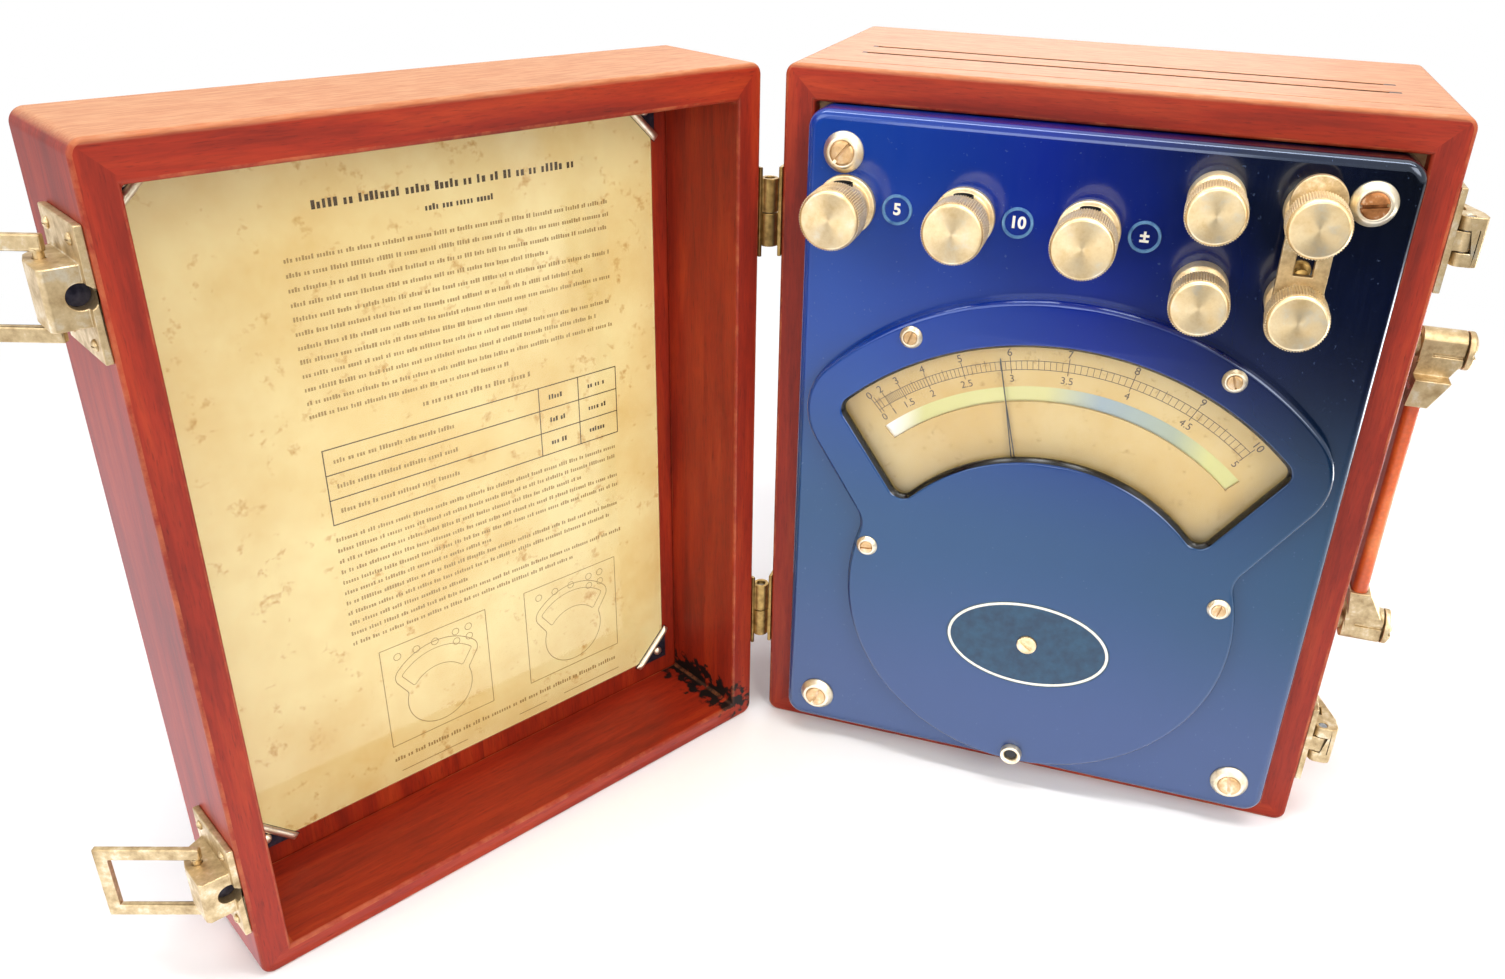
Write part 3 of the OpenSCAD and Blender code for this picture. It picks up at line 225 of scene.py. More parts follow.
def coated(add, light, dark, rough, grain=600.0, bump=0.1, metallic=0.0):
    # Opaque coat, ink or moulded fibre: flat colour broken by a fine tooth. When metallic, bare or lacquered
    # sheet and bar: even metal with faint tarnish in clouds
    here = add("TexCoord", out="Object")
    cloud = add("TexNoise", {"Vector": here, "Scale": grain, "Detail": 4.0})
    if metallic:
        rough = add("ValToRGB", [cloud], stops=((0.3, rough + 0.12), (0.7, rough)))
    return add("BsdfPrincipled", {"Metallic": metallic, "Roughness": rough,
        "Base Color": add("ValToRGB", [cloud], stops=((0.3, dark), (0.7, light))),
        "Normal": add("Bump", {"Height": cloud, "Strength": bump,
            "Distance": 0.0001 if metallic else 0.0002})})


metal = partial(coated, grain=420.0, metallic=1.0)


def agedPaper(add, light, mid, fox, blotch=26.0, spot=150.0):
    # Rag paper gone yellow: cream ground, brown tide marks at large scale and small foxing spots
    here = add("TexCoord", out="Object")
    cloud = add("TexNoise", {"Vector": here, "Scale": blotch, "Detail": 5.0, "Roughness": 0.6})
    spots = add("TexNoise", {"Vector": here, "Scale": spot, "Detail": 3.0, "Roughness": 0.7})
    fibre = add("TexNoise", {"Vector": here, "Scale": 2200.0, "Detail": 2.0})
    base = add("ValToRGB", [cloud], stops=((0.3, mid), (0.62, light)))
    foxed = add("ValToRGB", [spots], stops=((0.6, 0.0), (0.74, 0.75)))
    return add("BsdfPrincipled", {"Roughness": 0.62, "Specular IOR Level": 0.35,
        "Base Color": add("Mix", {0: foxed, 6: base, 7: fox}, 2, data_type="RGBA"),
        "Normal": add("Bump", {"Height": fibre, "Strength": 0.05, "Distance": 0.0001})})


def clearSheet(add, rough, ior, tint="#ffffff"):
    # Clear sheet: shows what lies behind it, with a thin shine on top; shadow rays pass straight through
    clear = add("BsdfPrincipled", {"Base Color": tint, "Roughness": rough, "IOR": ior,
        "Transmission Weight": 1.0})
    path = add("LightPath", out=None).outputs
    either = add("Math", (path["Is Shadow Ray"], path["Is Diffuse Ray"]), operation="MAXIMUM")
    return add("MixShader", (either, clear, add("BsdfTransparent", [tint])))


def silvering(add):
    # Silvered strip under the needle: bright, its colour graded along it from white at the left end to yellow
    # near both ends and blue-grey in the middle, a painted reflection
    x = add("SeparateXYZ", [add("TexCoord", out="Object")])
    place = add("MapRange", {"Value": x, "From Min": -0.06, "From Max": 0.06})
    colour = add("ValToRGB", [place], stops=((0.03, "#e9e8e2"), (0.12, "#c9c684"), (0.45, "#c8c488"),
        (0.6, "#92a2aa"), (0.8, "#9ea894"), (0.9, "#c6c482")))
    return add("BsdfPrincipled", {"Metallic": 0.85, "Roughness": 0.3, "Base Color": colour})


def leather(add):
    # Vegetable-tanned strap leather: orange tan, close pebbled grain 1 mm across, dark creases, waxed shine
    here = add("TexCoord", out="Object")
    pebbles = add("TexVoronoi", {"Vector": here, "Scale": 900.0, "Smoothness": 0.6}, "Distance",
        feature="SMOOTH_F1")
    cloud = add("TexNoise", {"Vector": here, "Scale": 60.0, "Detail": 5.0})
    base = add("ValToRGB", [cloud], stops=((0.3, "#b5400d"), (0.55, "#dd6420"), (0.8, "#ee8a48")))
    creased = add("ValToRGB", [pebbles], stops=((0.1, 1.0), (0.7, 0.72)))
    return add("BsdfPrincipled", {"Roughness": 0.42, "Specular IOR Level": 0.5, "Sheen Weight": 0.15,
        "Coat Weight": 0.2, "Coat Roughness": 0.3,
        "Base Color": add("Mix", {0: 0.6, 6: base, 7: creased}, 2, data_type="RGBA", blend_type="MULTIPLY"),
        "Normal": add("Bump", {"Height": pebbles, "Strength": 0.3, "Distance": -0.0002})})


studio = {"floor": 6.0, "world": 0.42, "whiteFrom": 0.42, "whiteTo": 0.8}


def paleFloor(add):
    # Pale floor that takes the shadow near the case and is plain white further off
    floor = add("BsdfPrincipled", {"Base Color": "#f6f6f6", "Roughness": 0.9, "Specular IOR Level": 0.1})
    distance = add("VectorMath", (add("TexCoord", out="Object"), (-0.06, -0.1, 0)), "Value",
        operation="DISTANCE")
    far = add("MapRange", {"Value": distance, "From Min": studio["whiteFrom"], "From Max": studio["whiteTo"]},
        interpolation_type="SMOOTHSTEP")
    seen = add("Math", (far, add("LightPath", out="Is Camera Ray")), operation="MULTIPLY")
    return add("MixShader", (seen, floor, add("Emission", ("#ffffff", 1.0))))


def shineCard(add):
    # Paper in front of the case that only shines show: bright close by, dark further off and to the right
    x, y, _ = add("SeparateXYZ", [add("TexCoord", out="Object")], None).outputs
    away = add("Math", (x, 0.9, add("Math", (y, -1.0), operation="MULTIPLY")), operation="MULTIPLY_ADD")
    level = add("MapRange", {"Value": away, "From Min": 0.12, "From Max": 0.85, "To Min": 1.9,
        "To Max": 0.06}, interpolation_type="SMOOTHSTEP")
    return add("Emission", ("#f4f6ff", level))


finish = {key: newMaterial(*look) for key, look in {
    "caseWood": ("lacqueredMahogany", mahogany),
    "caseArris": ("rubbedMahogany", mahogany, False, True),
    "lidWood": ("lacqueredMahoganyLid", mahogany, True),
    "lidArris": ("rubbedMahoganyLid", mahogany, True, True),
    "backWood": ("mahoganyBackBoard", mahogany, False, False, False),
    "lidBoard": ("mahoganyLidBoard", mahogany, True, False, False),
    "pine": ("unfinishedPine", coated, "#c79a6c", "#9a6a42", 0.7, 300.0),
    "moulding": ("polishedPhenolic", moulding),
    "rubbedMoulding": ("rubbedPhenolic", coated, "#5f8cb4", "#2f5a8c", 0.25, 400.0, 0.02),
    "nameField": ("darkEnamelField", coated, "#1a4560", "#10304a", 0.3, 300.0, 0.02),
    "nickel": ("satinNickel", plated),
    "turnedNickel": ("turnedNickel", plated, "#ead3a6", "#d2b684", 0.36, 0.6),
    "hardware": ("plainNickelPlate", plated, "#cdb68c", "#9c845e", 0.42),
    "cupNickel": ("cupNickel", plated, "#f0e3c8", "#d6c39c", 0.36),
    "screwNickel": ("screwNickel", plated, "#dcb98a", "#b08c5e", 0.42),
    "rustedNickel": ("rustedNickel", plated, "#b07a4c", "#6e4226", 0.6),
    "clipShade": ("bluedClipSheet", metal, "#4a4a58", "#262633", 0.5),
    "brass": ("agedBrass", metal, "#b8975a", "#7c6238", 0.36),
    "copper": ("tinnedCopper", metal, "#c07a4c", "#8a4a2a", 0.35),
    "iron": ("annealedIron", metal, "#6a6c70", "#3e4044", 0.5),
    "tin": ("tinPlate", metal, "#a5a8ac", "#74777c", 0.4),
    "steel": ("groundSteel", metal, "#b9bdc2", "#85898e", 0.28),
    "spring": ("bluedSteel", metal, "#4a5f86", "#2c3a56", 0.3),
    "casting": ("blackMouldedBase", coated, "#3a3a3e", "#242428", 0.55),
    "gasket": ("blackWindowLacquer", coated, "#0c0b0a", "#050505", 0.22, 500.0, 0.02),
    "fibre": ("vulcanisedFibre", coated, "#6b3a24", "#43200f", 0.55),
    "needle": ("blackNeedlePaint", coated, "#1b1a18", "#100f0e", 0.45, 900.0, 0.02),
    "ink": ("printersInk", coated, "#4a3420", "#33220f", 0.7, 1500.0, 0.02),
    "faintInk": ("fadedInk", coated, "#a58a5a", "#8a6f42", 0.7, 1500.0, 0.02),
    "white": ("whiteFillPaint", coated, "#f1eee4", "#d9d4c4", 0.5, 700.0, 0.02),
    "scalePaper": ("scalePaper", agedPaper, "#cdb478", "#c3a055", "#a98238", 30.0, 260.0),
    "card": ("instructionCard", agedPaper, "#e6dab2", "#d8bf8a", "#b9853a"),
    "mirror": ("scaleMirror", silvering),
    "glass": ("windowGlass", clearSheet, 0.02, 1.45),
    "film": ("clearFilm", clearSheet, 0.06, 1.35, "#fffdf2"),
    "leather": ("bridleLeather", leather),
    "floor": ("paleFloor", paleFloor),
    "shineCard": ("shineCard", shineCard),
}.items()}
print("materials made:", len(finish))


def newPiece(name, source, *keys):
    # Makes an object of a bmesh, with its finishes
    mesh = bpy.data.meshes.new(name)
    source.to_mesh(mesh)
    source.free()
    for key in keys:
        mesh.materials.append(finish[key])
    piece = bpy.data.objects.new(name, mesh)
    scene.collection.objects.link(piece)
    return piece


def sealed(name, source, *keys):
    # Turns the faces outward and makes the piece
    bmesh.ops.recalc_face_normals(source, faces=source.faces)
    return newPiece(name, source, *keys)


def settle(piece):
    # Applies the modifiers, and leaves a plain mesh
    bpy.context.view_layer.update()
    mesh = bpy.data.meshes.new_from_object(piece.evaluated_get(bpy.context.evaluated_depsgraph_get()))
    piece.modifiers.clear()
    piece.data = mesh
    mesh.name = piece.name


def shade(piece, angle, weighted=False):
    # Smooth shading, sharp past the angle, and flat faces kept flat when weighted
    for face in piece.data.polygons:
        face.use_smooth = True
    piece.data.set_sharp_from_angle(angle=radians(angle))
    if weighted:
        piece.modifiers.new("flatFaces", "WEIGHTED_NORMAL").keep_sharp = True
        settle(piece)


def bodyOf(node):
    return nodes[node]["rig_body"]


def hand(piece, slot, *stoodFor):
    # Rides on the body of the CAD nodes that it stands for
    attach(piece, bodyOf(stoodFor[0]))
    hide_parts(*stoodFor)


def drop(*parts):
    for part in parts:
        bpy.data.objects.remove(part)


def moved(x, y, z):
    return Matrix.Translation(Vector((x, y, z)) * mm)


def cadCopy(node, name, slot, keys, width, segments=2, angle=30, arris=None, joined=True, fine=None,
        room=0.0):
    # A CAD node's shape with its facets joined and its edges eased
    source = bmesh.new()
    source.from_mesh(nodes[node].data)
    bmesh.ops.remove_doubles(source, verts=source.verts, dist=2e-6)
    if joined:
        bmesh.ops.dissolve_limit(source, angle_limit=radians(0.3), verts=source.verts, edges=source.edges)
    weights = source.edges.layers.float.new("bevel_weight_edge")
    for edge in source.edges:
        if edge.calc_face_angle(0) > radians(angle):
            edge[weights] = fine((edge.verts[0].co + edge.verts[1].co) / 2 / mm) if fine else 1.0
    for face in source.faces:
        face.material_index = 0
    piece = newPiece(name, source, *keys)
    ease = piece.modifiers.new("easedEdges", "BEVEL")
    ease.width = width * mm
    ease.segments = segments
    ease.limit_method = "WEIGHT"
    ease.use_clamp_overlap = False
    if arris is not None:
        ease.material = arris
    settle(piece)
    if room:
        # Drawn in by a hair where another body moves close by
        for vertex, normal in zip(piece.data.vertices, [v.normal.copy() for v in piece.data.vertices]):
            vertex.co -= normal * room * mm
    shade(piece, 35, True)
    hand(piece, slot, node)
    return piece


def arc(cx, cz, radius, start, end, steps):
    angles = [radians(start + (end - start) * i / steps) for i in range(steps + 1)]
    return [(cx + radius * sin(a), cz + radius * cos(a)) for a in angles]


def circle(cx, cz, radius, steps=48):
    return arc(cx, cz, radius, 0, 360, steps)[:-1]


def roundRect(halfWidth, halfHeight, radius, cz, steps=10):
    return [point for sx, sz, start in ((1, 1, 0), (1, -1, 90), (-1, -1, 180), (-1, 1, 270)) for point in
        arc(sx * (halfWidth - radius), cz + sz * (halfHeight - radius), radius, start, start + 90, steps)]


def mirroredLoop(half):
    return half + [(-x, z) for x, z in half[-2:0:-1]]


def atDepth(outline, y):
    return [(x, y, z) for x, z in outline]


def loftRings(source, rings, closed=False):
    # Skins rings of the same count, and gives back their vertices
    loops = [[source.verts.new(Vector(p) * mm) for p in ring] for ring in rings]
    for first, second in zip(loops, loops[1:] + (loops[:1] if closed else [])):
        for i in range(len(first)):
            j = (i + 1) % len(first)
            source.faces.new((first[i], first[j], second[j], second[i]))
    return loops


def capFace(source, *loops):
    # Fills a flat face inside the first loop and outside the others
    every = [v for loop in loops for v in loop]
    for corners in tessellate_polygon([[v.co for v in loop] for loop in loops]):
        source.faces.new([every[i] for i in corners])


def rounded(points, radius, steps=4):
    # Rounds the inner corners of a lathe profile
    made = [points[0]]
    for before, corner, after in zip(points, points[1:], points[2:]):
        a, p, b = Vector(before), Vector(corner), Vector(after)
        reach = min(radius, (a - p).length * 0.45, (b - p).length * 0.45)
        start, end = p + (a - p).normalized() * reach, p + (b - p).normalized() * reach
        for t in [i / steps for i in range(steps + 1)]:
            made.append(tuple((1 - t) ** 2 * start + 2 * t * (1 - t) * p + t * t * end))
    return made + [points[-1]]


def lathe(profile, steps):
    # Turns (radius, height) pairs about an axis that points at the viewer. In the UV map u is one whole turn
    # and v the length along the profile, one unit to 30 mm
    source = bmesh.new()
    layer = source.loops.layers.uv.new("UVMap")
    rows, lengths, length = [], [], 0.0
    for k, (r, h) in enumerate(profile):
        if k:
            length += hypot(r - profile[k - 1][0], h - profile[k - 1][1])
        lengths.append(length / 30)
        angles = [2 * pi * i / steps for i in range(1 if r < 1e-6 else steps)]
        rows.append([source.verts.new((r * mm * sin(a), -h * mm, r * mm * cos(a))) for a in angles])
    for low, high, v0, v1 in zip(rows, rows[1:], lengths, lengths[1:]):
        for i in range(steps):
            j = (i + 1) % steps
            u0, u1, middle = i / steps, (i + 1) / steps, (i + 0.5) / steps
            ends = [(low[0], middle, v0)] if len(low) == 1 else [(low[i], u0, v0), (low[j], u1, v0)]
            ends += [(high[0], middle, v1)] if len(high) == 1 else [(high[j], u1, v1), (high[i], u0, v1)]
            face = source.faces.new([end[0] for end in ends])
            for loop, end in zip(face.loops, ends):
                loop[layer].uv = end[1:]
    bmesh.ops.recalc_face_normals(source, faces=source.faces)
    return source


def boxPiece(name, low, high):
    source = bmesh.new()
    bmesh.ops.create_cube(source, size=1)
    size, middle = (Vector(high) - Vector(low)) * mm, (Vector(high) + Vector(low)) / 2 * mm
    source.transform(Matrix.Translation(middle) @ Matrix.Diagonal((*size, 1)))
    return newPiece(name, source)


def cut(piece, cutter):
    # Cuts one piece with another and drops the cutter
    tool = piece.modifiers.new("cut", "BOOLEAN")
    tool.operation = "DIFFERENCE"
    tool.solver = "EXACT"
    tool.object = cutter
    settle(piece)
    drop(cutter)


def turned(name, key, profile, steps, sharp=None, ease=0.0, place=None, cutter=None):
    # A turned piece, its profile's corners rounded by ease
    piece = newPiece(name, lathe(rounded(profile, ease) if ease else profile, steps), *([key] if key else []))
    if cutter:
        cut(piece, cutter)
    if place:
        piece.data.transform(place)
    if sharp:
        shade(piece, sharp)
    return piece


def newTree(name, output, **inputs):
    # A Geometry Nodes group, with its adding function and its inputs
    tree = bpy.data.node_groups.new(name, "GeometryNodeTree")
    for socket, kind in inputs.items():
        tree.interface.new_socket(socket, in_out="INPUT", socket_type="NodeSocket" + kind)
    tree.interface.new_socket(output, in_out="OUTPUT", socket_type="NodeSocketGeometry")
    add = partial(addNode, tree)
    return tree, add, add("NodeGroupInput", out=None).outputs


def finishTree(add, grown, material):
    # Ends a group with plain geometry in its own finish
    solid = add("GeometryNodeRealizeInstances", [grown])
    add("NodeGroupOutput", [add("GeometryNodeSetMaterial", {"Geometry": solid, "Material": material})], None)


def growOn(piece, tree, **values):
    # Runs a group on a piece, with its inputs set by their identifiers, and leaves a plain mesh
    grow = piece.modifiers.new("parts", "NODES")
    grow.node_group = tree
    for item in tree.interface.items_tree:
        if item.name in values:
            grow[item.identifier] = values[item.name]
    settle(piece)


def plantTree():
    # Plants a part on every vertex, turned and sized by the vertex's own attributes
    tree, add, entry = newTree("plantParts", "Parts", Points="Geometry", Part="Object", Finish="Material")
    part = add("GeometryNodeObjectInfo", {"Object": entry["Part"]}, "Geometry")
    turn, stretch = [add("GeometryNodeInputNamedAttribute", {"Name": name}, "Attribute",
        data_type="FLOAT_VECTOR") for name in ("turn", "stretch")]
    finishTree(add, add("GeometryNodeInstanceOnPoints", {"Points": entry["Points"], "Instance": part,
        "Rotation": add("FunctionNodeEulerToRotation", [turn]), "Scale": stretch}), entry["Finish"])
    return tree


planting = plantTree()


def plant(name, part, places, key):
    # places: (x, y, z) in millimetres, Euler turn, stretch
    mesh = bpy.data.meshes.new(name)
    mesh.from_pydata([Vector(p[0]) * mm for p in places], [], [])
    for index, attribute in ((1, "turn"), (2, "stretch")):
        values = mesh.attributes.new(attribute, "FLOAT_VECTOR", "POINT")
        values.data.foreach_set("vector", [c for p in places for c in p[index]])
    piece = bpy.data.objects.new(name, mesh)
    scene.collection.objects.link(piece)
    growOn(piece, planting, Part=part, Finish=finish[key])
    part.hide_render = part.hide_viewport = True
    return piece


def planted(points, y, turns=(0, 0, 0, 0)):
    return [((x, y, z), (0, radians(-t), 0), (1, 1, 1)) for (x, z), t in zip(points, turns)]


# Wooden case
woodSizes = {"arris": 1.1, "boardArris": 0.6, "groove": (-41.5, -38.7), "grooveArris": 0.08, "ventArris": 0.2,
    "ventFrom": (-86, -24, 236), "ventTo": (86, 2, 260)}


def easing(point):
    # Crisp edges at the groove and the vents, as shares of the case's arris
    w = woodSizes
    if w["groove"][0] < point.y < w["groove"][1]:
        return w["grooveArris"]
    vent = all(low < at < high for low, at, high in zip(w["ventFrom"], point, w["ventTo"]))
    return w["ventArris"] if vent else 1.0


cadCopy("case_walls", "caseFrame", "mahogany", ("caseWood", "caseArris"), woodSizes["arris"], 3, 40, 1,
    fine=easing)
cadCopy("lid_walls", "lidFrame", "mahogany", ("lidWood", "lidArris"), woodSizes["arris"], 3, 40, 1)
cadCopy("case_back", "backBoard", "back_board", ["backWood"], woodSizes["boardArris"])
cadCopy("lid_board", "lidBoard", "back_board", ["lidBoard"], woodSizes["boardArris"])
print("case built")

# Moulded panel with its rounded edge and the opening behind the cover
panelSizes = {"halfWidth": 89.7, "halfHeight": 117.05, "corner": 6.5, "edge": 3.0, "backY": -45.5,
    "plateBackY": -55.5, "wall": 3.0, "openingRadius": 106.0, "openingHalf": 49.5, "openingSide": 80.0,
    "openingBowl": 48.0}


def panelRing(inset, y):
    p = panelSizes
    return atDepth(roundRect(p["halfWidth"] - inset, p["halfHeight"] - inset, p["corner"] - inset * 0.999,
        meter["openingMidZ"]), y)


def buildPanel():
    p = panelSizes
    source = bmesh.new()
    edge = [panelRing(p["edge"] * (1 - cos(a)), faceY + p["edge"] * (1 - sin(a)))
        for a in [radians(9 * i) for i in range(11)]]
    loops = loftRings(source, [panelRing(p["wall"], p["plateBackY"]), panelRing(p["wall"], p["backY"]),
        panelRing(0, p["backY"])] + edge)
    opening = mirroredLoop(arc(0, axisZ, p["openingRadius"], 0, p["openingHalf"], 24) +
        arc(0, axisZ, p["openingSide"], 57.5, 57.6, 1) + arc(0, axisZ, p["openingBowl"], 60, 180, 30))
    hole = loftRings(source, [atDepth(opening, faceY), atDepth(opening, p["plateBackY"])])
    capFace(source, loops[-1], hole[0])
    capFace(source, loops[0], hole[1])
    plate = sealed("panelPlate", source, "moulding")
    shade(plate, 50, True)
    hand(plate, "moulding", "panel")


buildPanel()

# Window cover
coverSizes = {"bowlRadius": 67.0, "bowlRise": 5.2, "earRadius": 22.0, "earTurn": 45.0, "earLean": 33.2,
    "crownRadius": 111.0, "crownRise": 6.8, "waist": 10.0, "edge": 1.7, "windowOut": 102.0, "windowIn": 63.3,
    "windowHigh": (73, 72), "windowLow": (54, 45), "windowCorner": 4.0, "bevel": 1.2, "lip": 3.0,
    "glassDepth": 2.2, "pocketRadius": 33.0, "pocketDepth": 3.0, "correctorZ": 64.0, "correctorRadius": 3.6,
    "stemRadius": 2.05}


def frameOf(lean):
    # Unit vectors out of and along a side that leans by an angle from upright
    return Vector((cos(lean), -sin(lean))), Vector((sin(lean), cos(lean)))


def coverOutline(inset):
    c = coverSizes
    turn, (n, d) = radians(c["earTurn"]), frameOf(radians(c["earLean"]))
    bowl = Vector((0, axisZ + c["bowlRise"]))
    crown = c["crownRadius"] - c["earRadius"]
    ear = Vector((crown * sin(turn), axisZ + c["crownRise"] + crown * cos(turn)))
    q = ear + (c["earRadius"] + c["waist"]) * n - bowl
    f = q - (q.dot(d) - sqrt(q.dot(d) ** 2 - q.dot(q) + (c["bowlRadius"] + c["waist"]) ** 2)) * d
    low = degrees(atan2(f.x, f.y))
    return mirroredLoop(arc(0, axisZ + c["crownRise"], c["crownRadius"] - inset, 0, c["earTurn"], 44) +
        arc(ear.x, ear.y, c["earRadius"] - inset, c["earTurn"] + 3, 90 + c["earLean"], 26) +
        arc(f.x, f.y + bowl.y, c["waist"] + inset, c["earLean"] - 90, low - 180, 12) +
        arc(0, bowl.y, c["bowlRadius"] - inset, low + 2, 180, 70))


def windowOutline(grow):
    c = coverSizes
    corner, high = c["windowCorner"], Vector(c["windowHigh"])
    side = high - Vector(c["windowLow"])
    lean = atan2(side.x, side.y)
    n, d = frameOf(lean)
    p = high - corner * n
    along = p.dot(d)
    top, foot = [p + (sqrt(along ** 2 - p.dot(p) + radius ** 2) - along) * d
        for radius in (c["windowOut"] - corner, c["windowIn"] + corner)]
    a, b = degrees(atan2(top.x, top.y)), degrees(atan2(foot.x, foot.y))
    return mirroredLoop(arc(0, axisZ, c["windowOut"] + grow, 0, a, 36) +
        arc(top.x, top.y + axisZ, corner + grow, a + 10, 90 + degrees(lean), 10) +
        arc(foot.x, foot.y + axisZ, corner + grow, 90 + degrees(lean), b + 170, 10) +
        arc(0, axisZ, c["windowIn"] - grow, b - 1, 0, 30))


def buildCover():
    c = coverSizes
    source = bmesh.new()
    outer = loftRings(source, [atDepth(coverOutline(0), faceY)] +
        [atDepth(coverOutline(c["edge"] * (1 - cos(a))), coverY + c["edge"] * (1 - sin(a)))
        for a in [radians(15 * i) for i in range(7)]])
    # The window's edge from the front to the glass; its inner wall is black, painted shade of the window's
    # recess
    edge = [(c["bevel"] + 0.5, 0), (c["bevel"] + 0.15, 0.12), (c["bevel"] - 0.1, 0.4), (0.1, 1.4), (0, 1.9)]
    seatY = faceY - c["glassDepth"]
    window = loftRings(source, [atDepth(windowOutline(grow), coverY + y) for grow, y in edge] +
        [atDepth(windowOutline(grow), y) for grow, y in ((0, seatY), (c["lip"], seatY), (c["lip"], faceY))])
    source.faces.ensure_lookup_table()
    for face in source.faces[-5 * len(window[0]):]:
        face.material_index = 1
    seat = loftRings(source, [atDepth(circle(0, c["correctorZ"], c["correctorRadius"] + grow), coverY + y)
        for grow, y in ((0.25, 0), (0, 0.25), (0, 1))])
    pocketY = faceY - c["pocketDepth"]
    pocket = loftRings(source, [atDepth(circle(0, axisZ, c["pocketRadius"]), y) for y in (faceY, pocketY)])
    hole = loftRings(source, [atDepth(circle(0, c["correctorZ"], c["stemRadius"], 24), y)
        for y in (coverY + 1, pocketY)])
    capFace(source, outer[-1], window[0], seat[0])
    capFace(source, outer[0], window[-1], pocket[0])
    capFace(source, seat[-1], hole[0])
    capFace(source, pocket[-1], hole[-1])
    cover = sealed("coverMoulding", source, "moulding", "gasket")
    shade(cover, 50, True)
    hand(cover, "moulding", "window_cover")


buildCover()
print("panel and cover built")

# Screws: a slotted raised head in a countersunk cup; the panel's top right one has rusted
cupShape = [(1, 0.1), (0.76, 0.4), (0.62, 0.43)]
headShape = [(0.5, 0.3), (0.59, 0.4), (0.59, 0.46), (0.5, 0.52), (0.25, 0.55), (0, 0.56)]
screwSets = {
    "panel": {"y": faceY, "radius": 6.5, "hole": 2.4, "turns": (52, 70, 8, 100),
        "points": [(-77.2, 228.9), (-77.2, 19.8), (77.2, 228.9), (77.2, 19.8)]},
    "cover": {"y": coverY, "radius": 3.8, "hole": 1.7, "turns": (70, 110, 5, 75),
        "points": [(-50.3, 173.0), (50.3, 173.0), (-60.3, 92.7), (60.3, 92.7)]},
}
for label, k in screwSets.items():
    y, r, hole, points = k["y"], k["radius"], k["hole"], k["points"]
    cup = turned(label + "CupPart", "cupNickel", [(hole, 0.0), (r, 0.0)] +
        [(r * a, r * b) for a, b in cupShape] + [(hole, r * 0.17), (hole, 0.0)], 72, 40, r * 0.06)
    slot = boxPiece("slotCutter", (-r, -r, -r * 0.085), (r, -r * 0.3, r * 0.085))
    head = turned(label + "HeadPart", "screwNickel", [(0, 0.1), (r * 0.3, 0.1)] + [(r * a, r * b)
        for a, b in headShape], 72, 30, r * 0.04, cutter=slot)
    hand(plant(label + "Cups", cup, planted(points, y), "cupNickel"), "nickel", label + "_cup_washers")
    places = planted(points, y, k["turns"])
    clean = [place for place in places if place[0][0] < 70 or place[0][2] < 200]
    hand(plant(label + "ScrewHeads", head, clean, "screwNickel"), "nickel", label + "_screws")
    if len(clean) < len(places):
        rusted = [place for place in places if place not in clean]
        hand(plant("rustedScrewHead", head, rusted, "rustedNickel"), "nickel", label + "_screws")
    drop(cup, head)

sealPlace = moved(0, coverY, 15.8)
hand(turned("sealCup", "cupNickel", [(0, 0.9), (2.2, 0.9), (2.4, 2.4), (3.0, 3.0), (3.7, 2.9), (3.95, 0.8),
    (3.6, 0.0), (0, 0.0)], 64, 40, 0.25, sealPlace), "nickel", "seal_cup")
plugShape = [(0, 0.8), (2.15, 0.8), (2.15, 1.5), (0, 1.7)]
sealPlug = turned("sealPlug", "needle", plugShape, 40, 40, 0.2, sealPlace)
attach(sealPlug, bodyOf("seal_cup"))
# Slotted head of the zero corrector, with its stem and crank pin
cadCopy("zero_corrector", "zeroScrew", "nickel", ["nickel"], 0.14)
print("screws built")

# Binding posts with their wire holes, and the link's posts
postSizes = {"flange": 9.6, "flangeHeight": 2.5, "barrel": 8.0, "top": 10.0, "stud": 2.5, "hole": 6.4,
    "holeHeight": 5.8, "collar": 8.25, "collarHeight": 8.0, "studTop": 15.1}
postPoints = [(-75.5, 212.5), (-37.5, 212.5), (0.5, 212.5)]
linkPoints = [(35.2, 226.0), (35.2, 199.4), (61.8, 226.0), (61.8, 199.4)]
s = postSizes
upright = moved(0, -s["holeHeight"], 0) @ Matrix.Rotation(quarterTurn, 4, "X")
drillShape = [(0, -14), (s["hole"] / 2, -14), (s["hole"] / 2, 14), (0, 14)]
drill = turned("holeCutter", None, drillShape, 40, place=upright)
post = turned("postPart", "nickel", [(0, 0), (s["flange"], 0), (s["flange"], s["flangeHeight"]),
    (s["barrel"], s["flangeHeight"]), (s["barrel"], s["top"]), (0, s["top"])], 96, 35, 0.5, cutter=drill)
# A dark tube just inside each wire hole: painted shade
lining = turned("liningPart", "needle", [(3.14, -8.2), (3.14, 8.2), (2.9, 8.2), (2.9, -8.2), (3.14, -8.2)],
    40, 40, place=upright)
collar = turned("collarPart", "nickel", [(0, 0), (s["collar"] - 0.4, 0), (s["collar"], 1.0), (s["collar"],
    s["collarHeight"] - 1.2), (s["collar"] - 1.3, s["collarHeight"]), (0, s["collarHeight"])], 96, 35, 0.5)
stud = turned("studPart", "nickel", [(0, 7.9), (s["stud"], 7.9), (s["stud"], s["studTop"] - 0.5),
    (s["stud"] - 0.6, s["studTop"]), (0, s["studTop"])], 48, 35, 0.2)
hand(plant("bindingPosts", post, planted(postPoints, faceY), "nickel"), "nickel", "binding_posts")
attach(plant("wireHoleLinings", lining, planted(postPoints, faceY), "needle"), bodyOf("binding_posts"))
hand(plant("linkCollars", collar, planted(linkPoints, faceY), "nickel"), "nickel", "link_posts")
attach(plant("linkStuds", stud, planted(linkPoints, faceY), "brass"), bodyOf("link_posts"))
drop(post, lining, collar, stud)


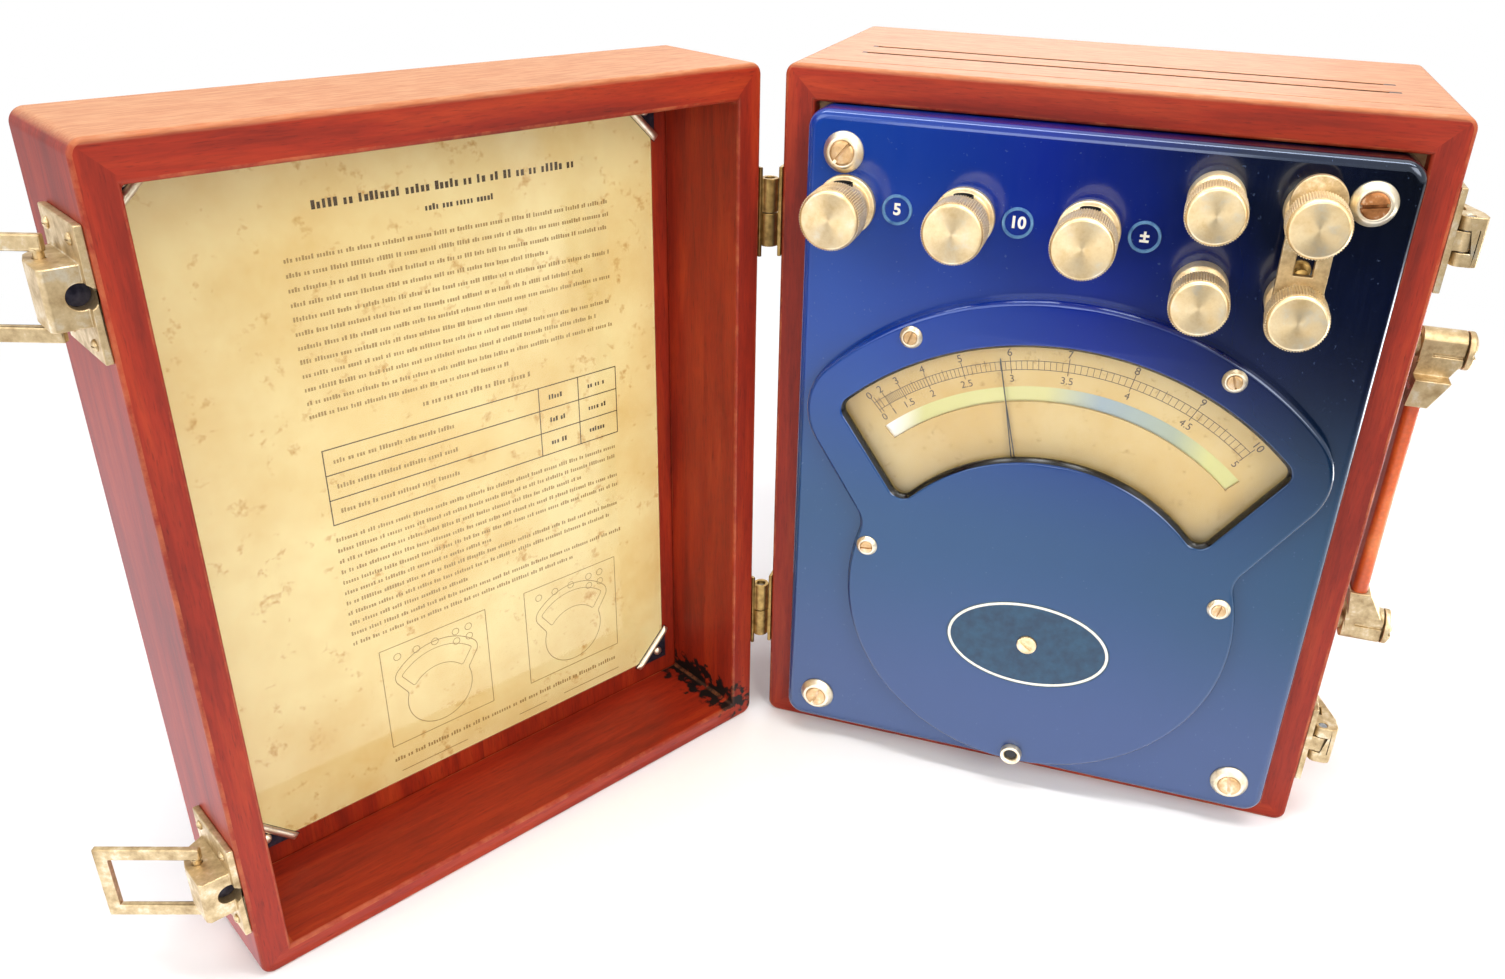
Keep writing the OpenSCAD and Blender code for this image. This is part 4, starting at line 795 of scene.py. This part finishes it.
def knobTree():
    # Straight ridges of a coin knurl round a turned knob, 0.77 mm apart
    tree, add, entry = newTree("knurlRidges", "Knurl", Ridges="Int", Radius="Float", Length="Float",
        Middle="Float", Width="Float", Finish="Material")
    ring = add("GeometryNodeMeshCircle", {"Vertices": entry["Ridges"], "Radius": entry["Radius"]})
    size = add("CombineXYZ", (entry["Width"], entry["Width"], entry["Length"]))
    faceOut = add("FunctionNodeAlignRotationToVector", {"Vector": add("GeometryNodeInputPosition")}, axis="X")
    onEdge = add("FunctionNodeRotateRotation", (faceOut, (0, 0, quarterTurn / 2)), rotation_space="LOCAL")
    ridges = add("GeometryNodeInstanceOnPoints", {"Points": ring, "Rotation": onEdge,
        "Instance": add("GeometryNodeMeshCube", {"Size": size}, "Mesh")})
    lift = add("CombineXYZ", {1: add("Math", (entry["Middle"], -1.0), operation="MULTIPLY")})
    finishTree(add, add("GeometryNodeTransform", {"Geometry": ridges, "Rotation": (quarterTurn, 0, 0),
        "Translation": lift}), entry["Finish"])
    return tree


knurling = knobTree()
knobKinds = {
    "post": {"profile": [(0, 0), (8.6, 0), (9.3, 0.7), (9.3, 11.0), (8.7, 11.8), (0, 11.8)], "radius": 9.28,
        "ridges": 76, "length": 9.6, "middle": 5.8},
    "link": {"profile": [(0, 0), (6.5, 0), (6.5, 3.8), (7.7, 3.8), (8.3, 4.5), (8.3, 13.5), (7.6, 14.3),
        (0, 14.3)], "radius": 8.28, "ridges": 68, "length": 8.4, "middle": 9.0},
}
ridgeWidth = 0.46


def buildKnob(name, kind, point, back, node):
    k = knobKinds[kind]
    knob = turned(name, "turnedNickel", k["profile"], 96, 40, 0.45)
    ridges = newPiece("ridges", bmesh.new())
    growOn(ridges, knurling, Ridges=k["ridges"], Radius=k["radius"] * mm, Length=k["length"] * mm,
        Middle=k["middle"] * mm, Width=ridgeWidth * mm, Finish=finish["nickel"])
    source = bmesh.new()
    source.from_mesh(ridges.data)
    for face in source.faces:
        face.material_index = 1
    source.from_mesh(knob.data)
    source.to_mesh(knob.data)
    source.free()
    knob.data.materials.append(finish["nickel"])
    drop(ridges)
    knob.data.transform(moved(point[0], faceY - back, point[1]))
    hand(knob, "nickel", node)


for name, kind, point, back, node in (("lowRangeKnob", "post", postPoints[0], 10.15, "low_range_knob"),
        ("highRangeKnob", "post", postPoints[1], 10.15, "high_range_knob"),
        ("commonKnob", "post", postPoints[2], 10.15, "common_knob"),
        ("upperParkingKnob", "link", linkPoints[0], 8.15, "upper_parking_knob"),
        ("lowerParkingKnob", "link", linkPoints[1], 8.15, "lower_parking_knob"),
        ("upperLinkKnob", "link", linkPoints[2], 10.7, "upper_link_knob"),
        ("lowerLinkKnob", "link", linkPoints[3], 10.7, "lower_link_knob")):
    buildKnob(name, kind, point, back, node)
thread = [point for k in range(11) for point in ((2.2, 1.4 + 0.5 * k), (1.9, 1.65 + 0.5 * k))]
restStud = turned("linkRestStud", "brass", [(0, 0), (3.0, 0), (3.0, 1.2)] + thread +
    [(2.2, 6.9), (2.0, 7.3), (1.1, 7.7), (0, 7.75)], 40, 30, place=moved(61.8, faceY, 208.0))
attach(restStud, bodyOf("link_posts"))
cadCopy("link_bar", "linkBar", "nickel", ["hardware"], 0.35, 3)
print("posts and knobs built")

# Scale: ladder of divisions, numbers and the range labels
scaleSizes = {"y": -56.5, "thick": 1.0, "plateOut": (104.5, 48.8), "plateSide": (79.0, 56.7),
    "plateIn": (52.0, 56.8), "slotOut": 86.2, "slotIn": 80.7, "slotTurn": 43, "ladderIn": 92.0,
    "ladderOut": 95.0, "outerNumbers": 98.0, "innerNumbers": 88.9, "start": -41.4, "sweep": 80.6,
    "arcSteps": 90, "outerHeight": 2.7, "innerHeight": 2.5, "relief": 0.04}
labelSizes = {"aside": 16.5, "height": 3.7, "weight": 0.16, "relief": 0.1, "ringRadius": 4.4,
    "ringWidth": 1.0, "ringHeight": 0.6}


def scaleAngle(value):
    # The uneven law of the photo's divisions
    u = value / 10
    return scaleSizes["start"] + scaleSizes["sweep"] * u * u * (0.6425 + 1.1206 * u - 0.763 * u * u)


def onScale(angle, radius):
    a = radians(angle)
    return (radius * sin(a), scaleSizes["y"] - 0.03, axisZ + radius * cos(a))


def textMesh(text, height, depth, weight=0.0):
    # Plain figures as a thin mesh that faces the viewer, centred on the origin
    curve = bpy.data.curves.new("figures", "FONT")
    curve.body = text
    curve.size = height * 1.38 * mm
    curve.extrude = depth * mm / 2
    curve.offset = weight * mm
    curve.align_x = curve.align_y = "CENTER"
    holder = bpy.data.objects.new("figures", curve)
    scene.collection.objects.link(holder)
    bpy.context.view_layer.update()
    mesh = bpy.data.meshes.new_from_object(holder.evaluated_get(bpy.context.evaluated_depsgraph_get()))
    drop(holder)
    mesh.transform(Matrix.Rotation(quarterTurn, 4, "X"))
    return mesh


def printFigures(name, key, node, figures):
    # figures: (mesh, matrix)
    source = bmesh.new()
    for mesh, place in figures:
        mesh.transform(place)
        source.from_mesh(mesh)
    for face in source.faces:
        face.material_index = 0
    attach(newPiece(name, source, key), bodyOf(node))


def ribbons(name, key, strips):
    # Low strips along closed paths on a face towards the viewer; strips: (path, width, height) in millimetres
    source = bmesh.new()
    for path, width, height in strips:
        rings = []
        for before, point, after in zip(path[-1:] + path[:-1], path, path[1:] + path[:1]):
            along = (Vector(after) - Vector(before)).normalized()
            out = Vector((along.z, 0, -along.x)) * width / 2
            rings.append([Vector(point) + out * side - Vector((0, lift, 0))
                for side, lift in ((1, 0), (0.75, height), (-0.75, height), (-1, 0))])
        loftRings(source, rings, True)
    piece = sealed(name, source, key)
    shade(piece, 60)
    return piece


def buildScalePlate():
    # Printed plate with its mirror slot, wide enough to fill the window from a low angle
    z = scaleSizes
    source = bmesh.new()
    (outR, outA), (sideR, sideA), (inR, inA) = z["plateOut"], z["plateSide"], z["plateIn"]
    outline = mirroredLoop(arc(0, axisZ, outR, 0, outA, 30) + arc(0, axisZ, sideR, sideA, inA, 1) +
        arc(0, axisZ, inR, inA, 0, 30))
    slot = arc(0, axisZ, z["slotOut"], -z["slotTurn"], z["slotTurn"], 60) + \
        arc(0, axisZ, z["slotIn"], z["slotTurn"], -z["slotTurn"], 60)
    outer, inner = [loftRings(source, [atDepth(edge, z["y"]), atDepth(edge, z["y"] + z["thick"])])
        for edge in (outline, slot)]
    capFace(source, outer[0], inner[0])
    capFace(source, outer[1], inner[1])
    hand(sealed("scalePlate", source, "scalePaper"), "scale_paper", "scale_plate")


def buildScale():
    z = scaleSizes
    places = []
    for value in [0, 1, 1.5] + [2 + i / 10 for i in range(81)]:
        a = scaleAngle(value)
        whole, half = abs(value - round(value)) < 1e-6, abs(value * 2 - round(value * 2)) < 1e-6
        low = z["ladderIn"] - (1.3 if whole else 0.0)
        high = z["ladderOut"] + (1.7 if whole else 0.8 if half else 0.0)
        stretch = (0.24 if whole else 0.17, 1, high - low)
        places.append((onScale(a, (low + high) / 2), (0, radians(a), 0), stretch))
    step = z["sweep"] / z["arcSteps"]
    for radius in (z["ladderIn"], z["ladderOut"]):
        for i in range(z["arcSteps"]):
            a = z["start"] + step * (i + 0.5)
            places.append((onScale(a, radius), (0, radians(a), 0), (radians(step) * radius + 0.04, 1, 0.2)))
    bar = boxPiece("barPart", (-0.5, -0.02, -0.5), (0.5, 0.02, 0.5))
    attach(plant("scaleLadder", bar, places, "ink"), bodyOf("scale_plate"))
    drop(bar)
    # The inner numbers are half the outer ones
    figures = []
    for radius, height, share in ((z["outerNumbers"], z["outerHeight"], 1),
            (z["innerNumbers"], z["innerHeight"], 2)):
        for value in (0, *range(2, 11)):
            a = scaleAngle(value)
            figures.append((textMesh(f"{value / share:g}", height, z["relief"]),
                moved(*onScale(a, radius)) @ Matrix.Rotation(radians(a), 4, "Y")))
    printFigures("scaleFigures", "ink", "scale_plate", figures)


def buildLabels():
    q = labelSizes
    printFigures("rangeFigures", "white", "panel", [(textMesh(text, q["height"], q["relief"], q["weight"]),
        moved(x + q["aside"], faceY - 0.04, z)) for (x, z), text in zip(postPoints, ("5", "10", "±"))])
    # The raised rings round the labels are a lighter blue than the panel: painted highlight
    circles = [circle(x + q["aside"], z, q["ringRadius"], 64) for x, z in postPoints]
    rings = ribbons("rangeRings", "rubbedMoulding", [(atDepth(path, faceY), q["ringWidth"], q["ringHeight"])
        for path in circles])
    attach(rings, bodyOf("panel"))


buildScalePlate()
buildScale()
buildLabels()

ovalSizes = {"halfWidth": 28.2, "halfHeight": 16.6, "midZ": 64.0, "hole": 3.9, "line": 1.0, "steps": 120}


def oval(grow, y):
    o = ovalSizes
    return [((o["halfWidth"] + grow) * cos(t), y, o["midZ"] + (o["halfHeight"] + grow) * sin(t))
        for t in [pi / 2 - 2 * pi * i / o["steps"] for i in range(o["steps"])]]


def buildOval():
    o, y = ovalSizes, coverY - 0.05
    source = bmesh.new()
    hole = circle(0, o["midZ"], o["hole"], o["steps"])
    loftRings(source, [oval(0.8, coverY + 0.02), oval(0.7, y), atDepth(hole, y)])
    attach(sealed("ovalField", source, "nameField"), bodyOf("window_cover"))
    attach(ribbons("ovalLine", "white", [(oval(-0.3, y), o["line"], 0.08)]), bodyOf("window_cover"))


buildOval()
print("dial and labels built")

# Hinges, catches, handle: node, name, slot, finish, eased width, and the hair by which the piece is drawn in
for node, name, slot, key, width, room in (
        ("case_hinge_leaves", "caseHingeLeaves", "brass", "brass", 0.25, 0.0),
        ("lid_hinge_leaves", "lidHingeLeaves", "brass", "brass", 0.25, 0.05),
        ("catch_plates", "catchPlates", "nickel", "hardware", 0.35, 0.05),
        ("upper_catch_lever", "upperCatchLever", "nickel", "hardware", 0.35, 0.08),
        ("lower_catch_lever", "lowerCatchLever", "nickel", "hardware", 0.35, 0.08),
        ("loop_brackets", "loopBrackets", "nickel", "hardware", 0.35, 0.0),
        ("upper_loop", "upperLoop", "nickel", "hardware", 0.4, 0.0),
        ("lower_loop", "lowerLoop", "nickel", "hardware", 0.4, 0.0),
        ("handle_posts", "handlePosts", "nickel", "hardware", 0.3, 0.0),
        ("handle_ferrules", "handleFerrules", "nickel", "hardware", 0.3, 0.0)):
    cadCopy(node, name, slot, [key], width, joined=not node.endswith("_loop"), room=room)

# Slotted screws of the fittings: name, finish, node, heights, side, (depth, rise) of each, stretch
roundShape = [(0, 0), (2.2, 0), (2.1, 0.6), (1.5, 1.15), (0.7, 1.4), (0, 1.45)]
roundHead = turned("roundHead", "hardware", roundShape, 32, 30, 0.2,
    cutter=boxPiece("headSlot", (-3, -3, -0.25), (3, -0.95, 0.25)))
for name, key, node, heights, x, spots, stretch in (
        ("catchPlateScrews", "hardware", "catch_plates", "catchHeights", 102.0,
            [(-30.0, -12.4), (-30.0, 12.4)], (0.85, 0.85, 0.85)),
        ("bracketScrews", "hardware", "loop_brackets", "catchHeights", 102.0,
            [(-57.4, 12.6), (-57.4, -12.6), (-74.2, 12.6), (-74.2, -12.6)], (0.7, 0.7, 0.7)),
        ("caseLeafScrews", "brass", "case_hinge_leaves", "hingeHeights", -101.24,
            [(-38.65, -10), (-38.65, 0), (-38.65, 10)], (0.8, 0.5, 0.8)),
        ("lidLeafScrews", "brass", "lid_hinge_leaves", "hingeHeights", -101.24,
            [(-64.65, -10), (-64.65, 0), (-64.65, 10)], (0.8, 0.5, 0.8))):
    screws = plant(name, roundHead, [((x, y, z + rise), (0, 0, copysign(quarterTurn, x)), stretch)
        for z in meter[heights] for y, rise in spots], key)
    if node in ("loop_brackets", "lid_hinge_leaves"):
        screws.data.transform(lidPlace)
    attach(screws, bodyOf(node))

# The hook bores in the loop brackets are dark inside: a dark disc deep in each bore is painted shade
boreShade = turned("boreShadePart", "needle", [(0, 0), (3.0, 0), (3.0, 0.3), (0, 0.3)], 32)
shades = plant("bracketBoreShades", boreShade, [((103.2, -58.3, z), (0, 0, pi), (1, 1, 1))
    for z in meter["catchHeights"]], "clipShade")
shades.data.transform(lidPlace)
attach(shades, bodyOf("loop_brackets"))
drop(roundHead, boreShade)

strapSizes = {"x0": 104.5, "x1": 109.7, "width": 20.0, "midY": -25.5, "z0": 85.5, "z1": 167.5, "round": 2.2,
    "pinch": 0.25, "rows": 40}


def buildStrap():
    # Worn thinner in the hand, and eased at both faces
    s = strapSizes
    source = bmesh.new()
    rings = []
    for t in [k / s["rows"] for k in range(s["rows"] + 1)]:
        pinch = s["pinch"] * sin(pi * t) ** 2
        half, thick = s["width"] / 2 - 0.2 * pinch, (s["x1"] - s["x0"]) / 2 - pinch
        rings.append([((s["x0"] + s["x1"]) / 2 + x, y, s["z0"] + (s["z1"] - s["z0"]) * t)
            for x, y in roundRect(thick, half, s["round"], s["midY"], 6)])
    loops = loftRings(source, rings)
    capFace(source, loops[0])
    capFace(source, loops[-1])
    strap = sealed("handleStrap", source, "leather")
    shade(strap, 45, True)
    hand(strap, "leather", "handle_strap")


buildStrap()
print("hardware and handle built")

# Card, print, film and corner clips in the lid
cardSizes = {"halfWidth": 84.0, "halfHeight": 111.0, "midZ": 126.5, "backY": -89.8, "thick": 0.5, "film": 0.3,
    "gap": 0.1, "cockle": 0.07, "columns": 28, "rows": 36}


def sheetPiece(name, slot, key, node, backY, frontY, wave, seed):
    # Thin closed sheet with a slight cockle in its front
    q = cardSizes
    columns, rows = q["columns"], q["rows"]
    rng = random.Random(seed)
    phases = [rng.uniform(0, 6.28) for _ in range(4)]
    source = bmesh.new()

    def corner(r, c, y, wave):
        u, v = c / columns, r / rows
        lift = wave * (sin(3.1 * u + phases[0]) * sin(4.3 * v + phases[1]) +
            0.5 * sin(9.0 * u + phases[2]) * sin(7.0 * v + phases[3])) * min(1, 6 * min(u, 1 - u, v, 1 - v))
        return source.verts.new(Vector((q["halfWidth"] * (2 * u - 1), y + lift,
            q["midZ"] + q["halfHeight"] * (2 * v - 1))) * mm)

    low, high = [[[corner(r, c, y, height) for c in range(columns + 1)] for r in range(rows + 1)]
        for y, height in ((backY, 0.0), (frontY, wave))]
    for grid in (low, high):
        for r in range(rows):
            for c in range(columns):
                source.faces.new((grid[r][c], grid[r][c + 1], grid[r + 1][c + 1], grid[r + 1][c]))
    border = [(0, c) for c in range(columns)] + [(r, columns) for r in range(rows)] + \
        [(rows, c) for c in range(columns, 0, -1)] + [(r, 0) for r in range(rows, 0, -1)]
    for (r0, c0), (r1, c1) in zip(border, border[1:] + border[:1]):
        source.faces.new((low[r0][c0], low[r1][c1], high[r1][c1], high[r0][c0]))
    piece = sealed(name, source, key)
    piece.data.transform(lidPlace)
    shade(piece, 60)
    hand(piece, slot, node)


c = cardSizes
cardTop = c["backY"] + c["thick"]
sheetPiece("instructionCard", "card", "card", "instruction_card", c["backY"], cardTop, 0.0, 1)
sheetPiece("clearFilm", "film", "film", "card_film", cardTop + c["gap"], cardTop + c["film"], c["cockle"], 2)


def buildPrint():
    # Unreadable printed lines, a ruled table and two outline sketches, as on an instruction card
    rng = random.Random(11)
    y = cardTop + 0.03
    dark, faint, strips = [], [], []

    def mark(store, u0, u1, v, height):
        # u from the left edge as the card is read, v from its top, both in millimetres
        place = (c["halfWidth"] - (u0 + u1) / 2, y, c["midZ"] + c["halfHeight"] - v)
        store.append((place, (0, 0, 0), (u1 - u0, 1, height)))

    def words(store, u0, u1, v, height, share=1.0):
        # Words of narrow blocks for letters, some of them taller
        pitch, u, last = height * 0.86, u0, u0 + (u1 - u0) * share
        while u < last:
            for _ in range(rng.choice((2, 3, 4, 5, 6, 8))):
                if u + pitch < last:
                    tall = rng.choice((0.0, 0.0, 0.35))
                    wide = pitch * rng.uniform(0.5, 0.72)
                    mark(store, u, u + wide, v - height * tall / 2, height * (1 + tall))
                u += pitch
            u += pitch * 0.8

    def paragraph(u0, v, pitch, shares):
        for k, share in enumerate(shares):
            words(faint, u0, 150, v + pitch * k, 1.05, share)

    words(dark, 50, 140, 17, 1.9)
    words(dark, 84, 108, 23, 1.4)
    paragraph(40, 31.0, 4.3, (1, 1, 1, 0.78, 1, 0.9, 1, 0.7, 1, 0.94, 1, 0.62))
    words(faint, 76, 116, 84, 1.3)
    for v in (90, 98.5, 107, 115.5):
        mark(dark, 42, 150, v, 0.35)
    for u in (42, 150, 118, 134):
        mark(dark, u - 0.17, u + 0.17, 102.75, 25.8)
    for v in (94.5, 103, 111.5):
        words(faint, 45, 112, v, 1.15, 0.62)
        words(dark, 122, 129, v, 1.3)
        words(dark, 138, 146, v, 1.3)
    paragraph(42, 121.0, 3.9, (1, 1, 0.85, 1, 1, 0.5, 1, 0.96, 0.4, 1, 0.8))
    words(faint, 50, 146, 213, 1.2)
    for u0, u1 in ((52, 78), (100, 112), (120, 146)):
        mark(faint, u0, u1, 218.5, 0.3)
    # Each sketch in its frame: the cover, its window and the row of posts
    for left in (50, 106):
        for v in (167, 207):
            mark(faint, left, left + 40, v, 0.3)
        for u in (left, left + 40):
            mark(faint, u - 0.15, u + 0.15, 187, 40)
        drawn = [([(x * 0.185, z * 0.185 - 39.5) for x, z in path], width)
            for path, width in ((coverOutline(0), 0.3), (windowOutline(0), 0.25))]
        drawn += [(circle(x, z, 1.3, 20), 0.25)
            for x, z in ((14, -4.5), (7, -4.5), (0, -4.5), (-8, -4), (-8, -8), (-13, -4), (-13, -8))]
        midX, topZ = c["halfWidth"] - left - 20, c["midZ"] + c["halfHeight"] - 167
        strips += [([(midX + x, y + 0.02, topZ + z) for x, z in path], width, 0.02) for path, width in drawn]
    bar = boxPiece("wordPart", (-0.5, -0.02, -0.5), (0.5, 0.02, 0.5))
    for piece in (plant("cardPrint", bar, faint, "faintInk"), plant("cardHeadings", bar, dark, "ink"),
            ribbons("cardSketches", "faintInk", strips)):
        piece.data.transform(lidPlace)
        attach(piece, bodyOf("instruction_card"))
    drop(bar)


buildPrint()

clipSizes = {"leg": 15.0, "over": 1.2, "thick": 0.4, "bead": 1.35, "nail": 3.0}


def buildClips():
    q = clipSizes
    y = cardTop + c["film"]
    source = bmesh.new()
    for sx, sz in ((-1, -1), (-1, 1), (1, -1), (1, 1)):
        cx, cz = sx * (c["halfWidth"] + q["over"]), c["midZ"] + sz * (c["halfHeight"] + q["over"])
        corners = [(cx, cz), (cx - sx * q["leg"], cz), (cx, cz - sz * q["leg"])]
        sheet = loftRings(source, [atDepth(corners, y), atDepth(corners, y + q["thick"])])
        capFace(source, sheet[0])
        capFace(source, sheet[1])
        # The triangle sheet takes the dark clipShade finish: painted shade of the corner behind the bead
        source.faces.ensure_lookup_table()
        for face in source.faces[-5:]:
            face.material_index = 1
        # Pressed bead along the long side, lower at its ends
        start, end = [Vector((x, 0, z)) for x, z in corners[1:]]
        length, inward = (end - start).length, Vector((sx, 0, sz)).normalized()
        rings = []
        for t in (0.4, 1.0, 2.0, *range(3, int(length) - 2), length - 2.0, length - 1.0, length - 0.4):
            rise = 1.1 * max(0.25, min(t - 0.3, length - t - 0.3, 1.0))
            middle = start.lerp(end, t / length) + inward * q["bead"] + Vector((0, y + q["thick"] / 2, 0))
            rings.append([middle + (inward * cos(a) + Vector((0, rise * sin(a), 0))) * q["bead"]
                for a in [radians(20 * i) for i in range(10)]])
        bead = loftRings(source, rings)
        for loop in (bead[0], bead[-1]):
            source.faces.new(loop)
        inset = q["over"] + q["nail"]
        dome = loftRings(source, [atDepth(circle(cx - sx * inset, cz - sz * inset, r, 24), y + h)
            for r, h in ((0.9, 0.0), (1.8, 0.4), (1.75, 0.9), (1.3, 1.5), (0.6, 1.8))])
        capFace(source, dome[0])
        capFace(source, dome[-1])
    clips = sealed("cornerClips", source, "cupNickel", "clipShade")
    clips.data.transform(lidPlace)
    shade(clips, 40)
    hand(clips, "nickel", "card_clips")


buildClips()
print("lid lining built")

# Needle: the CAD's open frame with its two legs drawn thinner, nearer to the photo's fine lines
needleSizes = {"turn": 13.0, "from": 2.9, "to": 78.4, "reach": 2.3, "near": 0.12, "thinOut": 0.2,
    "thinIn": 0.32}


def buildNeedle():
    q = needleSizes
    sine, cosine = sin(radians(q["turn"])), cos(radians(q["turn"]))
    needle = cadCopy("pointer", "needleFrame", "needle", ["needle"], 0.03, 1)
    for vertex in needle.data.vertices:
        east, north = vertex.co.x / mm, vertex.co.z / mm - axisZ
        across, up = east * cosine + north * sine, north * cosine - east * sine
        if q["from"] < up < q["to"] and abs(across) < q["reach"]:
            # The CAD legs' outer and inner edges at this height
            outer, inner = 2.2 - 1.7 * (up + 0.6) / 78.6, 1.45 * (74 - up) / 70
            side = copysign(1, across)
            if abs(across) < q["near"] and up > 73:
                up += 2.0
            elif abs(abs(across) - outer) < q["near"]:
                across -= side * q["thinOut"] * min(1, up / 78)
            elif abs(abs(across) - inner) < q["near"]:
                across += side * q["thinIn"]
            vertex.co.x = (across * cosine - up * sine) * mm
            vertex.co.z = (across * sine + up * cosine + axisZ) * mm


buildNeedle()
print("needle built")

# What stays from the CAD model gets its own finish
for key, names in {
        "pine": ("corner_blocks",),
        "glass": ("window_glass",),
        "mirror": ("mirror_strip",),
        "brass": ("stud_nuts", "movement_bridges", "jewel_screws", "zero_arm"),
        "copper": ("bus_straps", "coil_winding"),
        "steel": ("catch_pins", "hinge_pins", "movement_shaft"),
        "casting": ("movement_base",),
        "fibre": ("coil_bobbin",),
        "iron": ("fixed_vane", "moving_vane", "magnetic_shield"),
        "tin": ("damping_box", "damping_cover", "damping_vane"),
        "spring": ("hairspring",)}.items():
    for name in names:
        mesh = nodes[name].data
        mesh.materials.clear()
        mesh.materials.append(finish[key])
print("CAD nodes dressed")


def plane(name, low, high, z):
    # Level sheet of the studio, in metres
    source = bmesh.new()
    corners = (low, (high[0], low[1]), high, (low[0], high[1]))
    source.faces.new([source.verts.new((x, y, z)) for x, y in corners])
    piece = newPiece(name, source, name)
    return piece


def buildStudio():
    # Pale floor, white surround
    half = studio["floor"]
    plane("floor", (-half, -half), (half, half), 0)
    card = plane("shineCard", (-2.5, -3.0), (2.5, -0.07), 0.003)
    for ray in ("camera", "diffuse", "transmission", "volume_scatter", "shadow"):
        setattr(card, "visible_" + ray, False)
    world = bpy.data.worlds.new("studio")
    scene.world = world
    world.use_nodes = True
    world.node_tree.nodes.clear()
    add = partial(addNode, world.node_tree)
    path = add("LightPath", out=None).outputs
    seen = path["Is Camera Ray"]
    for ray in ("Is Glossy Ray", "Is Transmission Ray"):
        seen = add("Math", (seen, path[ray]), operation="MAXIMUM")
    light, white = [add("Background", ("#ffffff", strength)) for strength in (studio["world"], 1.0)]
    add("OutputWorld", [add("MixShader", (seen, light, white))], None)


buildStudio()

# Soft lamps: name, place, target, width, depth, power, colour
for name, place, target, width, depth, power, colour in (
        ("topBox", (0.1, 0.25, 1.3), (0, 0, 0.12), 1.1, 1.1, 4.0, "#ffffff"),
        ("keyBox", (1.0, -1.0, 0.95), (0, 0, 0.12), 0.8, 0.8, 13.0, "#fff8f0"),
        ("fillBox", (-0.9, -1.3, 0.8), (0, 0, 0.12), 0.9, 0.9, 8.0, "#f2f6ff"),
        ("backBox", (-0.2, 1.5, 0.9), (0, 0, 0.12), 0.9, 0.9, 6.0, "#ffffff"),
        ("rightStrip", (0.42, 0.17, 0.03), (0.1, -0.05, 0.13), 0.4, 0.12, 1.6, "#ffffff"),
        ("faceBox", (-0.1, -1.15, 0.4), (0, -0.06, 0.2), 0.42, 0.42, 2.2, "#ffffff"),
        ("edgeStrip", (0.0, -0.22, 1.0), (0, -0.06, 0.24), 1.3, 0.1, 6.0, "#ffffff")):
    lamp = bpy.data.lights.new(name, "AREA")
    lamp.shape = "RECTANGLE"
    lamp.size = width
    lamp.size_y = depth
    lamp.energy = power
    lamp.color = linear(colour)[:3]
    holder = bpy.data.objects.new(name, lamp)
    holder.location = place
    holder.rotation_euler = (Vector(target) - Vector(place)).to_track_quat("-Z", "Y").to_euler()
    scene.collection.objects.link(holder)

# Camera at the photograph's angle
cameraSizes = {"place": (0.020893, -0.434959, 0.311590), "right": (0.95359639, 0.29953737, 0.03051689),
    "up": (-0.16392573, 0.43149033, 0.88709889), "forward": (-0.25255152, 0.85093681, -0.46056951),
    "focal": 1219.81, "centre": (40.06, -4.39), "width": 1505, "sensor": 36.0}


def buildCamera():
    k = cameraSizes
    data = bpy.data.cameras.new("camera")
    data.sensor_fit = "HORIZONTAL"
    data.sensor_width = k["sensor"]
    data.lens = k["focal"] * k["sensor"] / k["width"]
    data.shift_x = -k["centre"][0] / k["width"]
    data.shift_y = k["centre"][1] / k["width"]
    data.clip_start = 0.01
    data.clip_end = 50
    camera = bpy.data.objects.new("camera", data)
    axes = Matrix((k["right"], k["up"], [-v for v in k["forward"]])).transposed().to_4x4()
    camera.matrix_world = Matrix.Translation(k["place"]) @ axes
    scene.collection.objects.link(camera)
    scene.camera = camera


buildCamera()
scene.view_settings.view_transform = "Standard"
print("scene ready")
